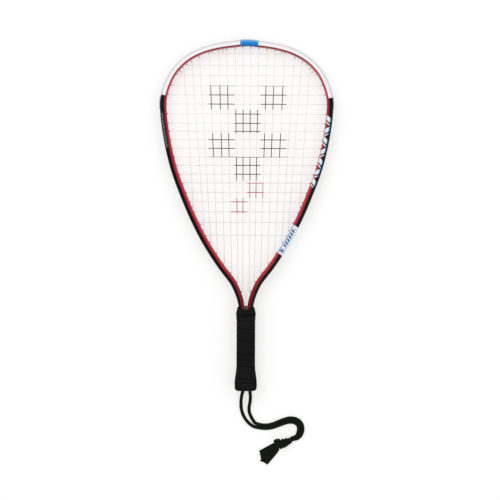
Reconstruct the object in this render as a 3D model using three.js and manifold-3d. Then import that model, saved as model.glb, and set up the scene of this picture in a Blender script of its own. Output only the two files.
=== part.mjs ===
// Racquetball racket with a fanned string bed, a wound grip and a looped wrist lanyard.
// Millimetres. It is drawn in a racket frame: butt end at y = 0, head along +Y, strings in z = 0,
// and at the end it is laid down on its butt flare and its head tip, so that z = 0 is the table.

import * as THREE from "three";
import { mergeVertices } from "three/addons/utils/BufferGeometryUtils.js";
import Module from "manifold-3d";

const wasm = await Module();
wasm.setup();

// Driving sizes of the head and the frame tube
const overallLength = 558.8;
const tubeHalfSpan = 137.6;
const tubeWidth = 9.8;
const tubeDepth = 22;
const tubeWall = 1.3;
const legWidth = 9.2;
const legDepth = 16.4;
const channelDepth = 2.8;
const channelHalfWidth = 3.3;
const channelFlare = 1;
const legFoot = 14.8;
const legHalfSpan = 10.5;
const legEase = 0.65;
const legTop = 121;
const throatTop = 150;
const flankFoot = 202.5;

// Shares of the tube's half width and half depth at which the faces of its section meet
const outerShoulderWidthShare = 0.92;
const outerShoulderDepthShare = 0.76;
const faceWidthShare = 0.46;
const innerShoulderDepthShare = 0.62;
const coreShoulderDepthShare = 0.56;

// Guard over the head's crown and the thin strips that carry the barrels
const guardStand = 1.8;
const guardEndStand = 0.5;
const guardTaperLength = 30;
const guardBaseWall = 0.7;
const guardGrooveHalfWidth = 2.5;
const guardHalfDepth = 8.4;
const stripThickness = 0.7;
const stripJoint = 1.2;
const stripTail = 19;
const fit = 0.3;
const meshTolerance = 0.03;
const overrun = 2;

// Height at which the guard ends, as a share of the length above the legs
const guardEndShare = 0.7424;

// Barrels, bores and strings
const stringDiameter = 1.3;
const boreRadius = 1.05;
const barrelRadius = 1.55;
const barrelHoleRadius = 1.9;
const nubLength = 2.2;
const bendRoom = 1;
const barrelLeanShare = 0.15;
const weaveLift = 1.6;
const laneOffset = 1.5;
const laneClearance = 0.4;
const laneLead = 1.5;
const laneBlend = 3.3;
const laneStep = 15;
const knotDiameter = 3;
const throatTieShare = 0.28;

// Handle
const shellHalfWidth = 12.9;
const shellTop = 120;
const gripFlattening = 2.35;
const gripCorner = 4.2;
const cornerBlend = 1.2;
const boreCornerShare = 0.2;
const wrapThickness = 1.4;
const wrapTop = 112;
const wrapBottom = 12.6;
const wrapPitch = 20;
const wrapSeam = 0.5;
const wrapBevel = 0.55;
const wrapTip = 2.4;
const spacerThickness = 1.9;
const spacerFoot = 16;
const spacerDepthShare = 0.92;
const tapeBottom = 112.5;
const tapeTop = 119.3;
const tapeThickness = 1.8;
const tapeEdge = 0.3;
const collarBottom = 120.4;
const collarTop = 133.6;
const collarHalfWidth = 15.85;
const collarLip = 0.65;
const collarCorner = 2.6;
const collarFit = 0.55;
const collarEdge = 1.65;
const collarWaistShare = 0.55;
const collarDip = 4.6;
const plugFoot = 122;
const plugTop = 134.6;
const plugCrown = 1.6;
const plugHalfDepth = 7.6;

// Butt cap, its pocket and the pin that holds the lanyard
const capHalfWidth = 17.7;
const capSkirtTop = 30;
const capSkirtLip = 0.5;
const capSkirtFootHalfWidth = 16;
const capSkirtCurve = 0.85;
const capEdgeRound = 5;
const capFloor = 14.2;
const pocketHalfWidth = 11.8;
const pocketHalfDepth = 3.6;
const pocketDepth = 12.7;
const pocketFlare = 0.9;
const pinDiameter = 3;
const pinHeight = 5;
const pinOffset = 1.7;
const pinGrip = 2.4;
const stapleCrown = 9;
const stapleWire = 1;
const stapleThickness = 0.5;
const stapleReach = 1.3;
const stapleHeight = 20;

// Lanyard: a soft round cord, doubled through the pocket and knotted at its far end
const cordDiameter = 5.4;
const cordRestClearance = 0.12;
const bightClearance = 0.45;
const cordJoint = 0.3;
const knotCentre = [59.2, -83.4];
const knotHalfLength = 13.8;
const knotHalfWidth = 9.2;
const knotHalfHeight = 5.5;
const knotTurn = 0.392;
const tailLength = 22.5;
const tailNeckHalfWidth = 4;
const tailEndHalfWidth = 6;
const tailHalfThickness = 1.8;
const tailRibs = 9;
const tailUpperSide = 0.5;
const tailUpperTurn = 0.205;
const tailLowerSide = -8.4;
const tailLowerTurn = 0.395;

// Facet counts
const headStep = 15;
const sideStep = 42;
const throatStep = 18;
const outlineSamples = 900;
const searchSteps = 40;

// Spacing of the points on which a string's gap to itself is measured, and the length of string
// that counts as one bend
const gapStep = 1.2;
const gapSkip = 7.2;
const grommetSides = 5;
const stringSides = 4;
const cordSides = 8;
const wrapStepsPerTurn = 16;
const plugCurveSteps = 6;
const pocketSteps = 5;
const pinSides = 10;
const bightSteps = 6;
const leftStrandSteps = 24;
const rightStrandSteps = 26;
const knotSides = 12;
const tailSides = 8;

// Outer edge of the frame tube on one side, in two stretches: crown to widest place, then on to
// the throat. The first of each pair is a share of the head's reach above the legs, and the second
// a share of the half span, or on the flank of what the half span has over the legs
const crownShares = [
  [1, 0], [0.9945, 0.182], [0.9851, 0.364], [0.9677, 0.545], [0.9383, 0.713], [0.8956, 0.85],
  [0.8429, 0.943], [0.7858, 0.9965], [0.7432, 1],
];
const flankShares = [
  [0.6977, 0.9866], [0.6104, 0.9361], [0.5227, 0.8593], [0.4353, 0.7488], [0.348, 0.6211],
  [0.2603, 0.4663], [0.1729, 0.2736], [0.1074, 0.1058], [0.0636, 0.0392], [0.0419, 0.0181],
];

// Strings: half of the mains, middle outward, at the crown and at the throat, as shares of the half
// span, and the crosses, head to throat, as shares of the length above the legs
const mainCrownShares = [0.042, 0.137, 0.233, 0.323, 0.435, 0.549, 0.633, 0.725];
const mainThroatShares = [0.038, 0.094, 0.167, 0.249, 0.331, 0.409, 0.485, 0.613];
const crossShares = [
  0.9479, 0.9052, 0.8696, 0.8322, 0.7987, 0.7654, 0.7294, 0.6956, 0.6665, 0.6357, 0.6044,
  0.5727, 0.5427, 0.5105, 0.4785, 0.4445, 0.4101, 0.3737, 0.3355, 0.2883,
];

// Lanyard route in the racket frame, x and y of each strand's middle, from the pocket to the knot,
// and how far it has come down to the table by then
const leftStrandRoute = [
  [-4.6, -1.5], [-5.9, -6], [-7, -13], [-7.4, -20], [-7.1, -27], [-5.7, -34], [-2.6, -41.9],
  [3.6, -50.6], [12.2, -57.6], [21.5, -60.1], [30.1, -61.1], [38.7, -60.5], [47.1, -58.2],
  [55.1, -55], [62.9, -52.1], [70.8, -50.2], [78.3, -51.4], [83.2, -55.4], [84.9, -61],
  [83.9, -67], [80.8, -71.8], [71.1, -75.3],
];
const rightStrandRoute = [
  [6.8, -1.5], [7.4, -6], [7.5, -13], [6.7, -20], [5.6, -27], [5.8, -34], [8.1, -40.8],
  [11.4, -46.8], [15.5, -51.8], [22.9, -54.3], [30.3, -55.2], [37.7, -54.7], [45.3, -52.6],
  [53.1, -49.6], [61.3, -46.5], [70.6, -44.4], [81, -45.8], [88.7, -51.6], [91.2, -60.6],
  [89.5, -69.4], [84, -76.9], [73.4, -80.7],
];
const fallShares = [0, 0.08, 0.33, 0.66, 0.9, 1];

// Butt cap: how far down its skirt the rings lie, and its end's rounding as shares of the radius,
// inward and up
const skirtShares = [0, 0.3, 0.6, 0.82, 1];
const capRoundShares = [[0, 1], [0.12, 0.5], [0.42, 0.14], [0.8, 0]];

// Wrap: where its outer face's rings lie across the strip
const wrapFaceShares = [0, 0.15, 0.85, 1];

// Lanyard's knot, whose rings swell in height and width and lean to one side along its length as
// the turns cross, and the ribs of its frayed ends
const knotSwellShares = [0.8, 1, 0.9, 0.84, 0.96, 1, 0.64];
const knotWidthShares = [0.66, 0.74, 0.8, 0.86, 1, 0.9, 0.64];
const knotLeanShares = [-0.02, -0.1, -0.1, 0.04, 0.2, 0.2, -0.06];
const knotGrooveShare = 0.07;
const knotTurnsAcross = 3;
const ribShares = [0.94, 1.04];

const UP = new THREE.Vector3(0, 0, 1);
const half = (value) => value / 2;
const lerp = THREE.MathUtils.lerp;
const smooth = THREE.MathUtils.smoothstep;

// Outline, and the sections that ride on it

const tubeReach = overallLength - guardStand;
const guardEndHeight = lerp(legTop, overallLength, guardEndShare);
const crownPoints = crownShares.map(([along, across]) =>
  [lerp(legTop, tubeReach, along), across * tubeHalfSpan]);
const flankPoints = flankShares.map(([along, across]) =>
  [lerp(legTop, tubeReach, along), lerp(legHalfSpan, tubeHalfSpan, across)]);
const outlinePoints = [
  ...crownPoints,
  ...flankPoints,
  [half(legTop + flankPoints.at(-1)[0]), legHalfSpan + legEase],
  [legTop, legHalfSpan],
  [half(legTop), legHalfSpan],
  [legFoot, legHalfSpan],
];
const outlineCurve = new THREE.CatmullRomCurve3(
  [...outlinePoints.slice(1, 3).reverse().map(([y, x]) => new THREE.Vector3(-x, y, 0)),
    ...outlinePoints.map(([y, x]) => new THREE.Vector3(x, y, 0))],
  false, "centripetal",
);

function sampleOutline() {
  const dense = outlineCurve.getPoints(outlineSamples).filter((point) => point.x >= 0);
  dense[0].setX(0);
  const samples = [];
  let travel = 0;
  dense.forEach((point, index) => {
    if (index > 0) travel += point.distanceTo(dense[index - 1]);
    const before = dense[Math.max(index - 1, 0)];
    const after = dense[Math.min(index + 1, dense.length - 1)];
    const along = after.clone().sub(before).normalize();
    if (index === 0) along.set(1, 0, 0);
    samples.push({ travel, point, along });
  });
  return samples;
}
const outline = sampleOutline();
const outlineEnd = outline.at(-1).travel;

// Place on the outline at a signed travel from the crown: right side positive, left side negative
function place(travel) {
  const wanted = Math.min(Math.abs(travel), outlineEnd);
  let low = 0;
  let high = outline.length - 1;
  while (high - low > 1) {
    const middle = Math.floor(half(low + high));
    if (outline[middle].travel > wanted) high = middle;
    else low = middle;
  }
  const share = (wanted - outline[low].travel) / (outline[high].travel - outline[low].travel);
  const point = outline[low].point.clone().lerp(outline[high].point, share);
  const along = outline[low].along.clone().lerp(outline[high].along, share).normalize();
  if (travel < 0) {
    point.x = -point.x;
    along.y = -along.y;
  }
  return { point, along, out: new THREE.Vector3(-along.y, along.x, 0) };
}

// How far the section has narrowed into the handle, 0 in the head and 1 in the handle
const narrowing = (y) => 1 - smooth(y, legTop, throatTop);

// Point of a section: u outward from the tube's middle, w along Z
function sectionPoint(travel, u, w) {
  const { point, out } = place(travel);
  const share = narrowing(point.y);
  const widthScale = lerp(1, legWidth / tubeWidth, share);
  const depthScale = lerp(1, legDepth / tubeDepth, share);
  return point.clone()
    .addScaledVector(out, (u - half(tubeWidth)) * widthScale)
    .addScaledVector(UP, w * depthScale);
}

function travelAtHeight(y) {
  const found = outline.findIndex((sample) => sample.travel > 0 && sample.point.y < y);
  return outline[found < 0 ? outline.length - 1 : found].travel;
}

function stations() {
  const sideStart = travelAtHeight(guardEndHeight);
  const throatStart = travelAtHeight(flankFoot);
  const handleStart = travelAtHeight(legTop);
  const list = [];
  const fill = (from, to, step) => {
    const count = Math.ceil((to - from) / step);
    for (let i = 0; i < count; i += 1) list.push(lerp(from, to, i / count));
  };
  fill(0, sideStart, headStep);
  fill(sideStart, throatStart, sideStep);
  fill(throatStart, handleStart, throatStep);
  list.push(handleStart, outlineEnd);
  return [...list.slice(1).reverse().map((travel) => -travel), ...list];
}
const tubeStations = stations();
const stationsBetween = (from, to) => {
  const inside = tubeStations.filter((t) => t > from + stripJoint && t < to - stripJoint);
  return [from, ...inside, to];
};

// Least gap between two stretches of one string, measured on points spaced along it, and printed
function printLeastGap(name, bends) {
  const points = [];
  bends.slice(1).forEach((bend, index) => {
    const count = Math.ceil(bend.distanceTo(bends[index]) / gapStep);
    for (let i = 0; i < count; i += 1) points.push(bends[index].clone().lerp(bend, i / count));
  });
  const skip = Math.ceil(gapSkip / gapStep);
  let least = Infinity;
  points.forEach((point, i) => {
    for (let j = i + skip; j < points.length; j += 1) {
      least = Math.min(least, point.distanceToSquared(points[j]));
    }
  });
  console.log(name, "least gap to itself", (Math.sqrt(least) - stringDiameter).toFixed(2), "mm");
}

// Solids from rings

function solidFromRings(rings, capFaces, closed = false) {
  const count = rings[0].length;
  const positions = rings.flat().flatMap((point) => [point.x, point.y, point.z]);
  const faces = [];
  const bands = closed ? rings.length : rings.length - 1;
  for (let i = 0; i < bands; i += 1) {
    const a = i * count;
    const b = ((i + 1) % rings.length) * count;
    for (let j = 0; j < count; j += 1) {
      const k = (j + 1) % count;
      faces.push(a + j, a + k, b + k, a + j, b + k, b + j);
    }
  }
  if (!closed) {
    const last = (rings.length - 1) * count;
    capFaces.forEach(([p, q, r]) => faces.push(p, r, q, last + p, last + q, last + r));
  }
  return orient(positions, faces);
}

function orient(positions, faces) {
  let volume = 0;
  const point = (i) => new THREE.Vector3().fromArray(positions, 3 * i);
  for (let i = 0; i < faces.length; i += 3) {
    volume += point(faces[i]).dot(point(faces[i + 1]).cross(point(faces[i + 2])));
  }
  if (volume < 0) {
    for (let i = 0; i < faces.length; i += 3) [faces[i], faces[i + 1]] = [faces[i + 1], faces[i]];
  }
  const geometry = new THREE.BufferGeometry();
  geometry.setAttribute("position", new THREE.Float32BufferAttribute(positions, 3));
  geometry.setIndex(faces);
  return geometry;
}

// Triangles that close a section, wound the way that the section's own points run
function flatFaces(section) {
  const contour = section.map(([x, y]) => new THREE.Vector2(x, y));
  const faces = THREE.ShapeUtils.triangulateShape(contour, []);
  return THREE.ShapeUtils.area(contour) < 0 ? faces.map(([a, b, c]) => [a, c, b]) : faces;
}

function solid(geometry) {
  const bare = geometry.clone();
  bare.deleteAttribute("normal");
  bare.deleteAttribute("uv");
  const merged = mergeVertices(bare);
  return new wasm.Manifold(new wasm.Mesh({
    numProp: 3,
    vertProperties: new Float32Array(merged.attributes.position.array),
    triVerts: new Uint32Array(merged.index.array),
  }));
}

function geometryOf(body) {
  const mesh = body.asOriginal().simplify(meshTolerance).getMesh();
  const geometry = new THREE.BufferGeometry();
  geometry.setAttribute("position", new THREE.Float32BufferAttribute(mesh.vertProperties, 3));
  geometry.setIndex(Array.from(mesh.triVerts));
  return geometry;
}

const joined = (geometries) => wasm.Manifold.union(geometries.map((geometry) => solid(geometry)));

// Tube along a polyline: a round section in the middle plane of each bend
function tubeAlong(points, radius, sides, flatten = 1) {
  const section = [];
  for (let i = 0; i < sides; i += 1) {
    const angle = (2 * Math.PI * i) / sides;
    section.push([Math.cos(angle) * radius, Math.sin(angle) * radius]);
  }
  let across = null;
  const rings = points.map((point, index) => {
    const before = points[Math.max(index - 1, 0)];
    const after = points[Math.min(index + 1, points.length - 1)];
    const arriving = point.clone().sub(before).normalize();
    const leaving = after.clone().sub(point).normalize();
    const along = arriving.add(leaving).normalize();
    if (!across) across = Math.abs(along.z) > 0.9 ? new THREE.Vector3(1, 0, 0) : UP.clone();
    across.addScaledVector(along, -across.dot(along)).normalize();
    const side = along.clone().cross(across);
    return section.map(([u, v]) => point.clone()
      .addScaledVector(across, u * flatten)
      .addScaledVector(side, v));
  });
  return solidFromRings(rings, flatFaces(section));
}

// Prism along an axis, used for barrels, bores and the holes that clear them
function prismBetween(start, end, radius, sides) {
  return tubeAlong([start, end], radius, sides);
}

// Frame tube

const tubeHalfWidth = half(tubeWidth);
const tubeHalfDepth = half(tubeDepth);
const tubeFace = faceWidthShare * tubeHalfWidth;
const tubeShoulder = outerShoulderWidthShare * tubeHalfWidth;
const tubeShoulderDepth = outerShoulderDepthShare * tubeHalfDepth;
const channelFloor = tubeHalfWidth - channelDepth;

const tubeSection = (() => {
  const side = [
    [channelFloor, channelHalfWidth],
    [tubeHalfWidth, channelHalfWidth + channelFlare],
    [tubeShoulder, tubeShoulderDepth],
    [tubeFace, tubeHalfDepth],
    [-tubeFace, tubeHalfDepth],
    [-tubeHalfWidth, innerShoulderDepthShare * tubeHalfDepth],
  ];
  return [...side, ...side.map(([u, w]) => [u, -w]).reverse()];
})();

const coreSection = (() => {
  const side = [
    [channelFloor - tubeWall, channelHalfWidth + channelFlare],
    [tubeFace, tubeHalfDepth - tubeWall],
    [half(tubeWall) - tubeFace, tubeHalfDepth - tubeWall],
    [tubeWall - tubeHalfWidth, coreShoulderDepthShare * tubeHalfDepth],
  ];
  return [...side, ...side.map(([u, w]) => [u, -w]).reverse()];
})();

function ride(section, travels, shape = (point) => point) {
  const rings = travels.map((travel) =>
    section.map((point) => sectionPoint(travel, ...shape(point, travel))));
  return solidFromRings(rings, flatFaces(section));
}

function coreRide() {
  const rings = tubeStations.map((travel) =>
    coreSection.map(([u, w]) => sectionPoint(travel, u, w)));
  [rings[0], rings.at(-1)].forEach((ring) => ring.forEach((point) => point.setY(point.y - overrun)));
  return solidFromRings(rings, flatFaces(coreSection));
}

// Holes: where a string meets the frame, and the way that its barrel points

const bendLevel = -tubeHalfWidth - nubLength - bendRoom;
const nubLevel = -tubeHalfWidth - nubLength;
const stripLevel = channelFloor + fit;
const stripTop = stripLevel + stripThickness;
const laneLevel = stripTop + laneClearance + half(stringDiameter);
const turnLevel = laneLevel - fit;

const insetPoint = (travel) => sectionPoint(travel, bendLevel, 0);

function findTravel(test, from, to) {
  let low = from;
  let high = to;
  for (let i = 0; i < searchSteps; i += 1) {
    const middle = half(low + high);
    if (test(insetPoint(middle))) high = middle;
    else low = middle;
  }
  return half(low + high);
}

const widestTravel = travelAtHeight(guardEndHeight);
const throatTravel = travelAtHeight(legTop);

function makeHole(travel, stringOut) {
  const { out, along } = place(travel);
  const way = out.clone().addScaledVector(stringOut, barrelLeanShare).normalize();
  const climb = way.dot(out);
  const bend = insetPoint(travel);
  const at = (level) => bend.clone().addScaledVector(way, (level - bendLevel) / climb);
  const exit = travel + (way.dot(along) / climb) * (laneLevel - bendLevel);
  return { travel, bend, at, exit };
}

function mirrored(hole) {
  const flip = (point) => new THREE.Vector3(-point.x, point.y, point.z);
  return { travel: -hole.travel, bend: flip(hole.bend), at: (level) => flip(hole.at(level)),
    exit: -hole.exit };
}

const mains = mainCrownShares.map((crownShare, index) => {
  const crownX = crownShare * tubeHalfSpan;
  const throatX = mainThroatShares[index] * tubeHalfSpan;
  const crownTravel = findTravel((p) => p.x > crownX, 0, widestTravel);
  const throatFind = findTravel((p) => p.x < throatX, widestTravel, throatTravel);
  const way = insetPoint(crownTravel).sub(insetPoint(throatFind)).normalize();
  return {
    crown: makeHole(crownTravel, way),
    throat: makeHole(throatFind, way.clone().negate()),
  };
});

const crosses = crossShares.map((share) => {
  const y = lerp(legTop, overallLength, share);
  const travel = findTravel((p) => p.y < y, 0, throatTravel);
  return makeHole(travel, new THREE.Vector3(1, 0, 0));
});

// Tie-off holes sit between two string holes and point straight across the tube
const tieOff = (before, after, share = half(1)) => {
  const travel = lerp(before.exit, after.exit, share);
  return makeHole(travel, place(travel).out);
};
const mainTie = tieOff(mains.at(-1).crown, crosses[2]);
const crossTieCrown = mirrored(tieOff(mains[2].crown, mains[3].crown));
const crossTieThroat = mirrored(tieOff(crosses.at(-2), mains.at(-2).throat,
  throatTieShare));

const rightHoles = [...mains.flatMap(({ crown, throat }) => [crown, throat]), ...crosses, mainTie];
const allHoles = [...rightHoles, ...rightHoles.map(mirrored), crossTieCrown, crossTieThroat];

// The guard ends midway between two holes
const holeExits = rightHoles.map(({ exit }) => exit);
const guardEnd = half(Math.max(...holeExits.filter((exit) => exit < widestTravel))
  + Math.min(...holeExits.filter((exit) => exit > widestTravel)));

const barrelShape = (hole) =>
  prismBetween(hole.at(nubLevel), hole.at(stripLevel + half(stripThickness)), barrelRadius,
    grommetSides);
const boreShape = (hole) =>
  prismBetween(hole.at(nubLevel - overrun), hole.at(laneLevel), boreRadius, grommetSides);
const clearShape = (hole) =>
  prismBetween(hole.at(nubLevel), hole.at(laneLevel), barrelHoleRadius, grommetSides);

function frameTube() {
  const core = solid(coreRide());
  const holes = joined(allHoles.map(clearShape));
  return geometryOf(solid(ride(tubeSection, tubeStations)).subtract(core).subtract(holes));
}

// Guard and strips, each with its own barrels

function guardSection() {
  const outer = tubeHalfWidth + guardStand;
  const face = tubeHalfWidth + fit;
  const side = [
    [stripLevel, channelHalfWidth - fit],
    [face, channelHalfWidth + channelFlare - fit],
    [tubeShoulder + fit, tubeShoulderDepth],
    [face + half(guardBaseWall), guardHalfDepth + half(guardBaseWall)],
    [outer, guardHalfDepth - guardStand],
    [outer, guardGrooveHalfWidth],
    [stripLevel + guardBaseWall, guardGrooveHalfWidth],
  ];
  return [...side, ...side.map(([u, w]) => [u, -w]).reverse()];
}

function bumperGuard() {
  const travels = stationsBetween(-guardEnd, guardEnd);
  const face = tubeHalfWidth + fit;
  const taper = ([u, w], travel) => {
    const share = smooth(guardEnd - Math.abs(travel), 0, guardTaperLength);
    const limit = face + lerp(guardEndStand, guardStand - fit, share);
    return [Math.min(u, limit), w];
  };
  const holes = allHoles.filter((hole) => Math.abs(hole.exit) < guardEnd);
  const body = joined([ride(guardSection(), travels, taper), ...holes.map(barrelShape)]);
  return geometryOf(body.subtract(joined(holes.map(boreShape))));
}

function grommetStrip(side) {
  const start = guardEnd + stripJoint;
  const end = mains[0].throat.exit + stripTail;
  const travels = stationsBetween(start, end).map((travel) => side * travel);
  const edge = channelHalfWidth - fit;
  const section = [[stripLevel, edge], [stripLevel, -edge], [stripTop, -edge], [stripTop, edge]];
  const holes = allHoles.filter((hole) => side * hole.exit > start);
  const body = joined([ride(section, travels), ...holes.map(barrelShape)]);
  return geometryOf(body.subtract(joined(holes.map(boreShape))));
}

// Strings

// Outside run in the channel between two holes, in its own lane above or below the middle
function channelRun(from, to, lane) {
  const way = Math.sign(to.exit - from.exit);
  const start = from.exit + way * laneLead;
  const end = to.exit - way * laneLead;
  const blend = Math.min(laneBlend, Math.abs(end - start) / 3);
  const steps = Math.max(1, Math.ceil((Math.abs(end - start) - 2 * blend) / laneStep));
  const points = [sectionPoint(start, laneLevel, half(lane))];
  for (let i = 0; i <= steps; i += 1) {
    const travel = lerp(start + way * blend, end - way * blend, i / steps);
    points.push(sectionPoint(travel, laneLevel, lane));
  }
  points.push(sectionPoint(end, laneLevel, half(lane)));
  return [from.at(turnLevel), ...points, to.at(turnLevel)];
}

function mainString() {
  const order = [...mains.map(({ crown, throat }) => ({ crown: mirrored(crown),
    throat: mirrored(throat) })).reverse(), ...mains];
  const points = [mirrored(mainTie).at(nubLevel)];
  points.push(...channelRun(mirrored(mainTie), order[0].crown, laneOffset));
  order.forEach(({ crown, throat }, index) => {
    const down = index % 2 === 0;
    const [start, end] = down ? [crown, throat] : [throat, crown];
    points.push(start.bend.clone(), end.bend.clone());
    const next = order[index + 1];
    if (next) points.push(...channelRun(end, down ? next.throat : next.crown, laneOffset));
  });
  points.push(...channelRun(mains.at(-1).crown, mainTie, laneOffset), mainTie.at(nubLevel));
  printLeastGap("main_string", points);
  return tubeAlong(points, half(stringDiameter), stringSides);
}

// Every main, left to right, as a height range and an x for a height
const mainLines = [...mains.map(({ crown, throat }) => ({ crown: mirrored(crown).bend,
  throat: mirrored(throat).bend })).reverse(),
...mains.map(({ crown, throat }) => ({ crown: crown.bend, throat: throat.bend }))];

function crossingsOf(y, limit, row) {
  const points = [];
  mainLines.forEach(({ crown, throat }, index) => {
    if (y > crown.y || y < throat.y) return;
    const x = lerp(throat.x, crown.x, (y - throat.y) / (crown.y - throat.y));
    if (Math.abs(x) > limit - bendRoom) return;
    const lift = (index + row) % 2 === 0 ? weaveLift : -weaveLift;
    points.push(new THREE.Vector3(x, y, lift));
  });
  return points;
}

function crossString() {
  const first = mirrored(crosses[0]);
  const points = [crossTieCrown.at(nubLevel), ...channelRun(crossTieCrown, first, -laneOffset)];
  crosses.forEach((hole, row) => {
    const left = mirrored(hole);
    const middle = crossingsOf(hole.bend.y, hole.bend.x, row);
    const [start, end] = row % 2 === 0 ? [left, hole] : [hole, left];
    if (row % 2 === 1) middle.reverse();
    points.push(start.bend.clone(), ...middle, end.bend.clone());
    const below = crosses[row + 1];
    const next = below && (row % 2 === 0 ? below : mirrored(below));
    points.push(...channelRun(end, next ?? crossTieThroat, -laneOffset));
  });
  points.push(crossTieThroat.at(nubLevel));
  printLeastGap("cross_string", points);
  return tubeAlong(points, half(stringDiameter), stringSides);
}

function tieKnot(hole) {
  const tip = hole.at(nubLevel);
  const inward = hole.at(nubLevel - half(knotDiameter) - fit).sub(tip);
  const geometry = new THREE.IcosahedronGeometry(half(knotDiameter), 0);
  return geometry.translate(tip.x + inward.x, tip.y + inward.y, 0);
}

// Handle: an eight-sided grip section with eased corners, wider than it is deep

function gripRing(halfWidth, y, corner = gripCorner) {
  const depth = halfWidth - gripFlattening;
  const ease = cornerBlend;
  const quarter = [
    [halfWidth, depth - corner - ease], [halfWidth - half(ease), depth - corner + half(ease)],
    [halfWidth - corner + half(ease), depth - half(ease)], [halfWidth - corner - ease, depth],
  ];
  const ring = [
    ...quarter,
    ...quarter.map(([x, z]) => [-x, z]).reverse(),
    ...quarter.map(([x, z]) => [-x, -z]),
    ...quarter.map(([x, z]) => [x, -z]).reverse(),
  ];
  return ring.map(([x, z]) => new THREE.Vector3(x, y, z));
}

// Eight-sided shell that the legs lie in, moulded as a front and a back half
function handleShell(face) {
  const depth = shellHalfWidth - gripFlattening;
  const bore = legHalfSpan + fit;
  const boreDepth = half(legDepth) + fit;
  const corner = gripCorner;
  const boreCorner = boreCornerShare * legWidth;
  const seam = half(fit);
  const outer = [
    [shellHalfWidth, seam], [shellHalfWidth, depth - corner], [shellHalfWidth - corner, depth],
  ];
  const shape = new THREE.Shape();
  const right = [...outer];
  const left = outer.map(([x, z]) => [-x, z]).reverse();
  const inner = [
    [-bore, seam], [-bore, boreDepth - boreCorner], [-bore + boreCorner, boreDepth],
    [bore - boreCorner, boreDepth], [bore, boreDepth - boreCorner], [bore, seam],
  ];
  [...right, ...left, ...inner].forEach(([x, z], index) => {
    if (index === 0) shape.moveTo(x, face * z);
    else shape.lineTo(x, face * z);
  });
  const length = shellTop - capFloor - fit;
  const geometry = new THREE.ExtrudeGeometry(shape, { depth: length, bevelEnabled: false });
  geometry.rotateX(half(Math.PI)).translate(0, shellTop, 0);
  return geometryOf(solid(geometry).subtract(staple(face, fit)));
}

function legSpacer() {
  const length = plugFoot - fit - spacerFoot;
  const depth = spacerDepthShare * legDepth;
  const geometry = new THREE.BoxGeometry(spacerThickness, length, depth);
  return geometry.translate(0, spacerFoot + half(length), 0);
}

// Rubber plug that closes the gap between the legs, shaped to their inner faces
function throatPlug() {
  const heights = [plugFoot, half(plugFoot + plugTop), plugTop];
  const sideX = (y) => {
    const travel = findInner(y);
    return sectionPoint(travel, -tubeHalfWidth, 0).x - fit;
  };
  const right = heights.map((y) => [sideX(y), y]);
  const left = right.map(([x, y]) => [-x, y]).reverse();
  const shape = new THREE.Shape();
  right.forEach(([x, y], index) => (index ? shape.lineTo(x, y) : shape.moveTo(x, y)));
  shape.quadraticCurveTo(0, plugTop + plugCrown, ...left[0]);
  left.slice(1).forEach(([x, y]) => shape.lineTo(x, y));
  const geometry = new THREE.ExtrudeGeometry(shape, {
    depth: 2 * plugHalfDepth, bevelEnabled: false, curveSegments: plugCurveSteps,
  });
  return geometry.translate(0, 0, -plugHalfDepth);
}

function findInner(y) {
  let low = travelAtHeight(throatTop);
  let high = outlineEnd;
  for (let i = 0; i < searchSteps; i += 1) {
    const middle = half(low + high);
    if (sectionPoint(middle, -tubeHalfWidth, 0).y < y) high = middle;
    else low = middle;
  }
  return low;
}

// Ring with an outer and an inner profile, each a list of half width and height
function sleeve(outer, inner, corner = gripCorner, shape = (ring) => ring) {
  const profile = [...outer, ...inner.slice().reverse()];
  const rings = profile.map(([width, y]) => shape(gripRing(width, y, corner), width));
  return solidFromRings(rings, [], true);
}

const wrapInner = shellHalfWidth + fit;

function finishingTape() {
  const outer = wrapInner + tapeThickness;
  return sleeve(
    [[outer - tapeEdge, tapeBottom], [outer, tapeBottom + tapeEdge],
      [outer, tapeTop - tapeEdge], [outer - tapeEdge, tapeTop]],
    [[wrapInner, tapeBottom], [wrapInner, tapeTop]],
  );
}

function gripCollar() {
  const legEdge = sectionPoint(travelAtHeight(collarTop), tubeHalfWidth, 0).x + collarFit;
  const waist = lerp(collarBottom, collarTop, collarWaistShare);
  const ease = half(collarEdge);
  return sleeve(
    [[collarHalfWidth - ease, collarBottom], [collarHalfWidth, collarBottom + collarEdge],
      [half(collarHalfWidth + legEdge) + ease, waist],
      [legEdge + collarLip + ease, collarTop - collarEdge], [legEdge + collarLip, collarTop]],
    [[legEdge, collarBottom], [legEdge, collarTop]],
    collarCorner,
    // Both faces draw down in the middle of the mouth, where the legs and the plug show
    (ring, width) => {
      ring.forEach((point) => {
        const dip = (collarDip / (collarTop - collarBottom)) * (1 - (point.x / width) ** 2);
        point.y = lerp(collarBottom, point.y, 1 - dip);
      });
      return ring;
    },
  );
}

// Butt cap

const skirtHalfWidth = (y) => {
  const share = Math.min(1, Math.max(0, (capSkirtTop - y) / (capSkirtTop - wrapBottom)));
  const lip = shellHalfWidth + fit + capSkirtLip;
  return lerp(lip, capSkirtFootHalfWidth, share ** capSkirtCurve);
};
const skirtSteps = skirtShares.map((share) => lerp(capSkirtTop, wrapBottom - fit, share));

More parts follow.
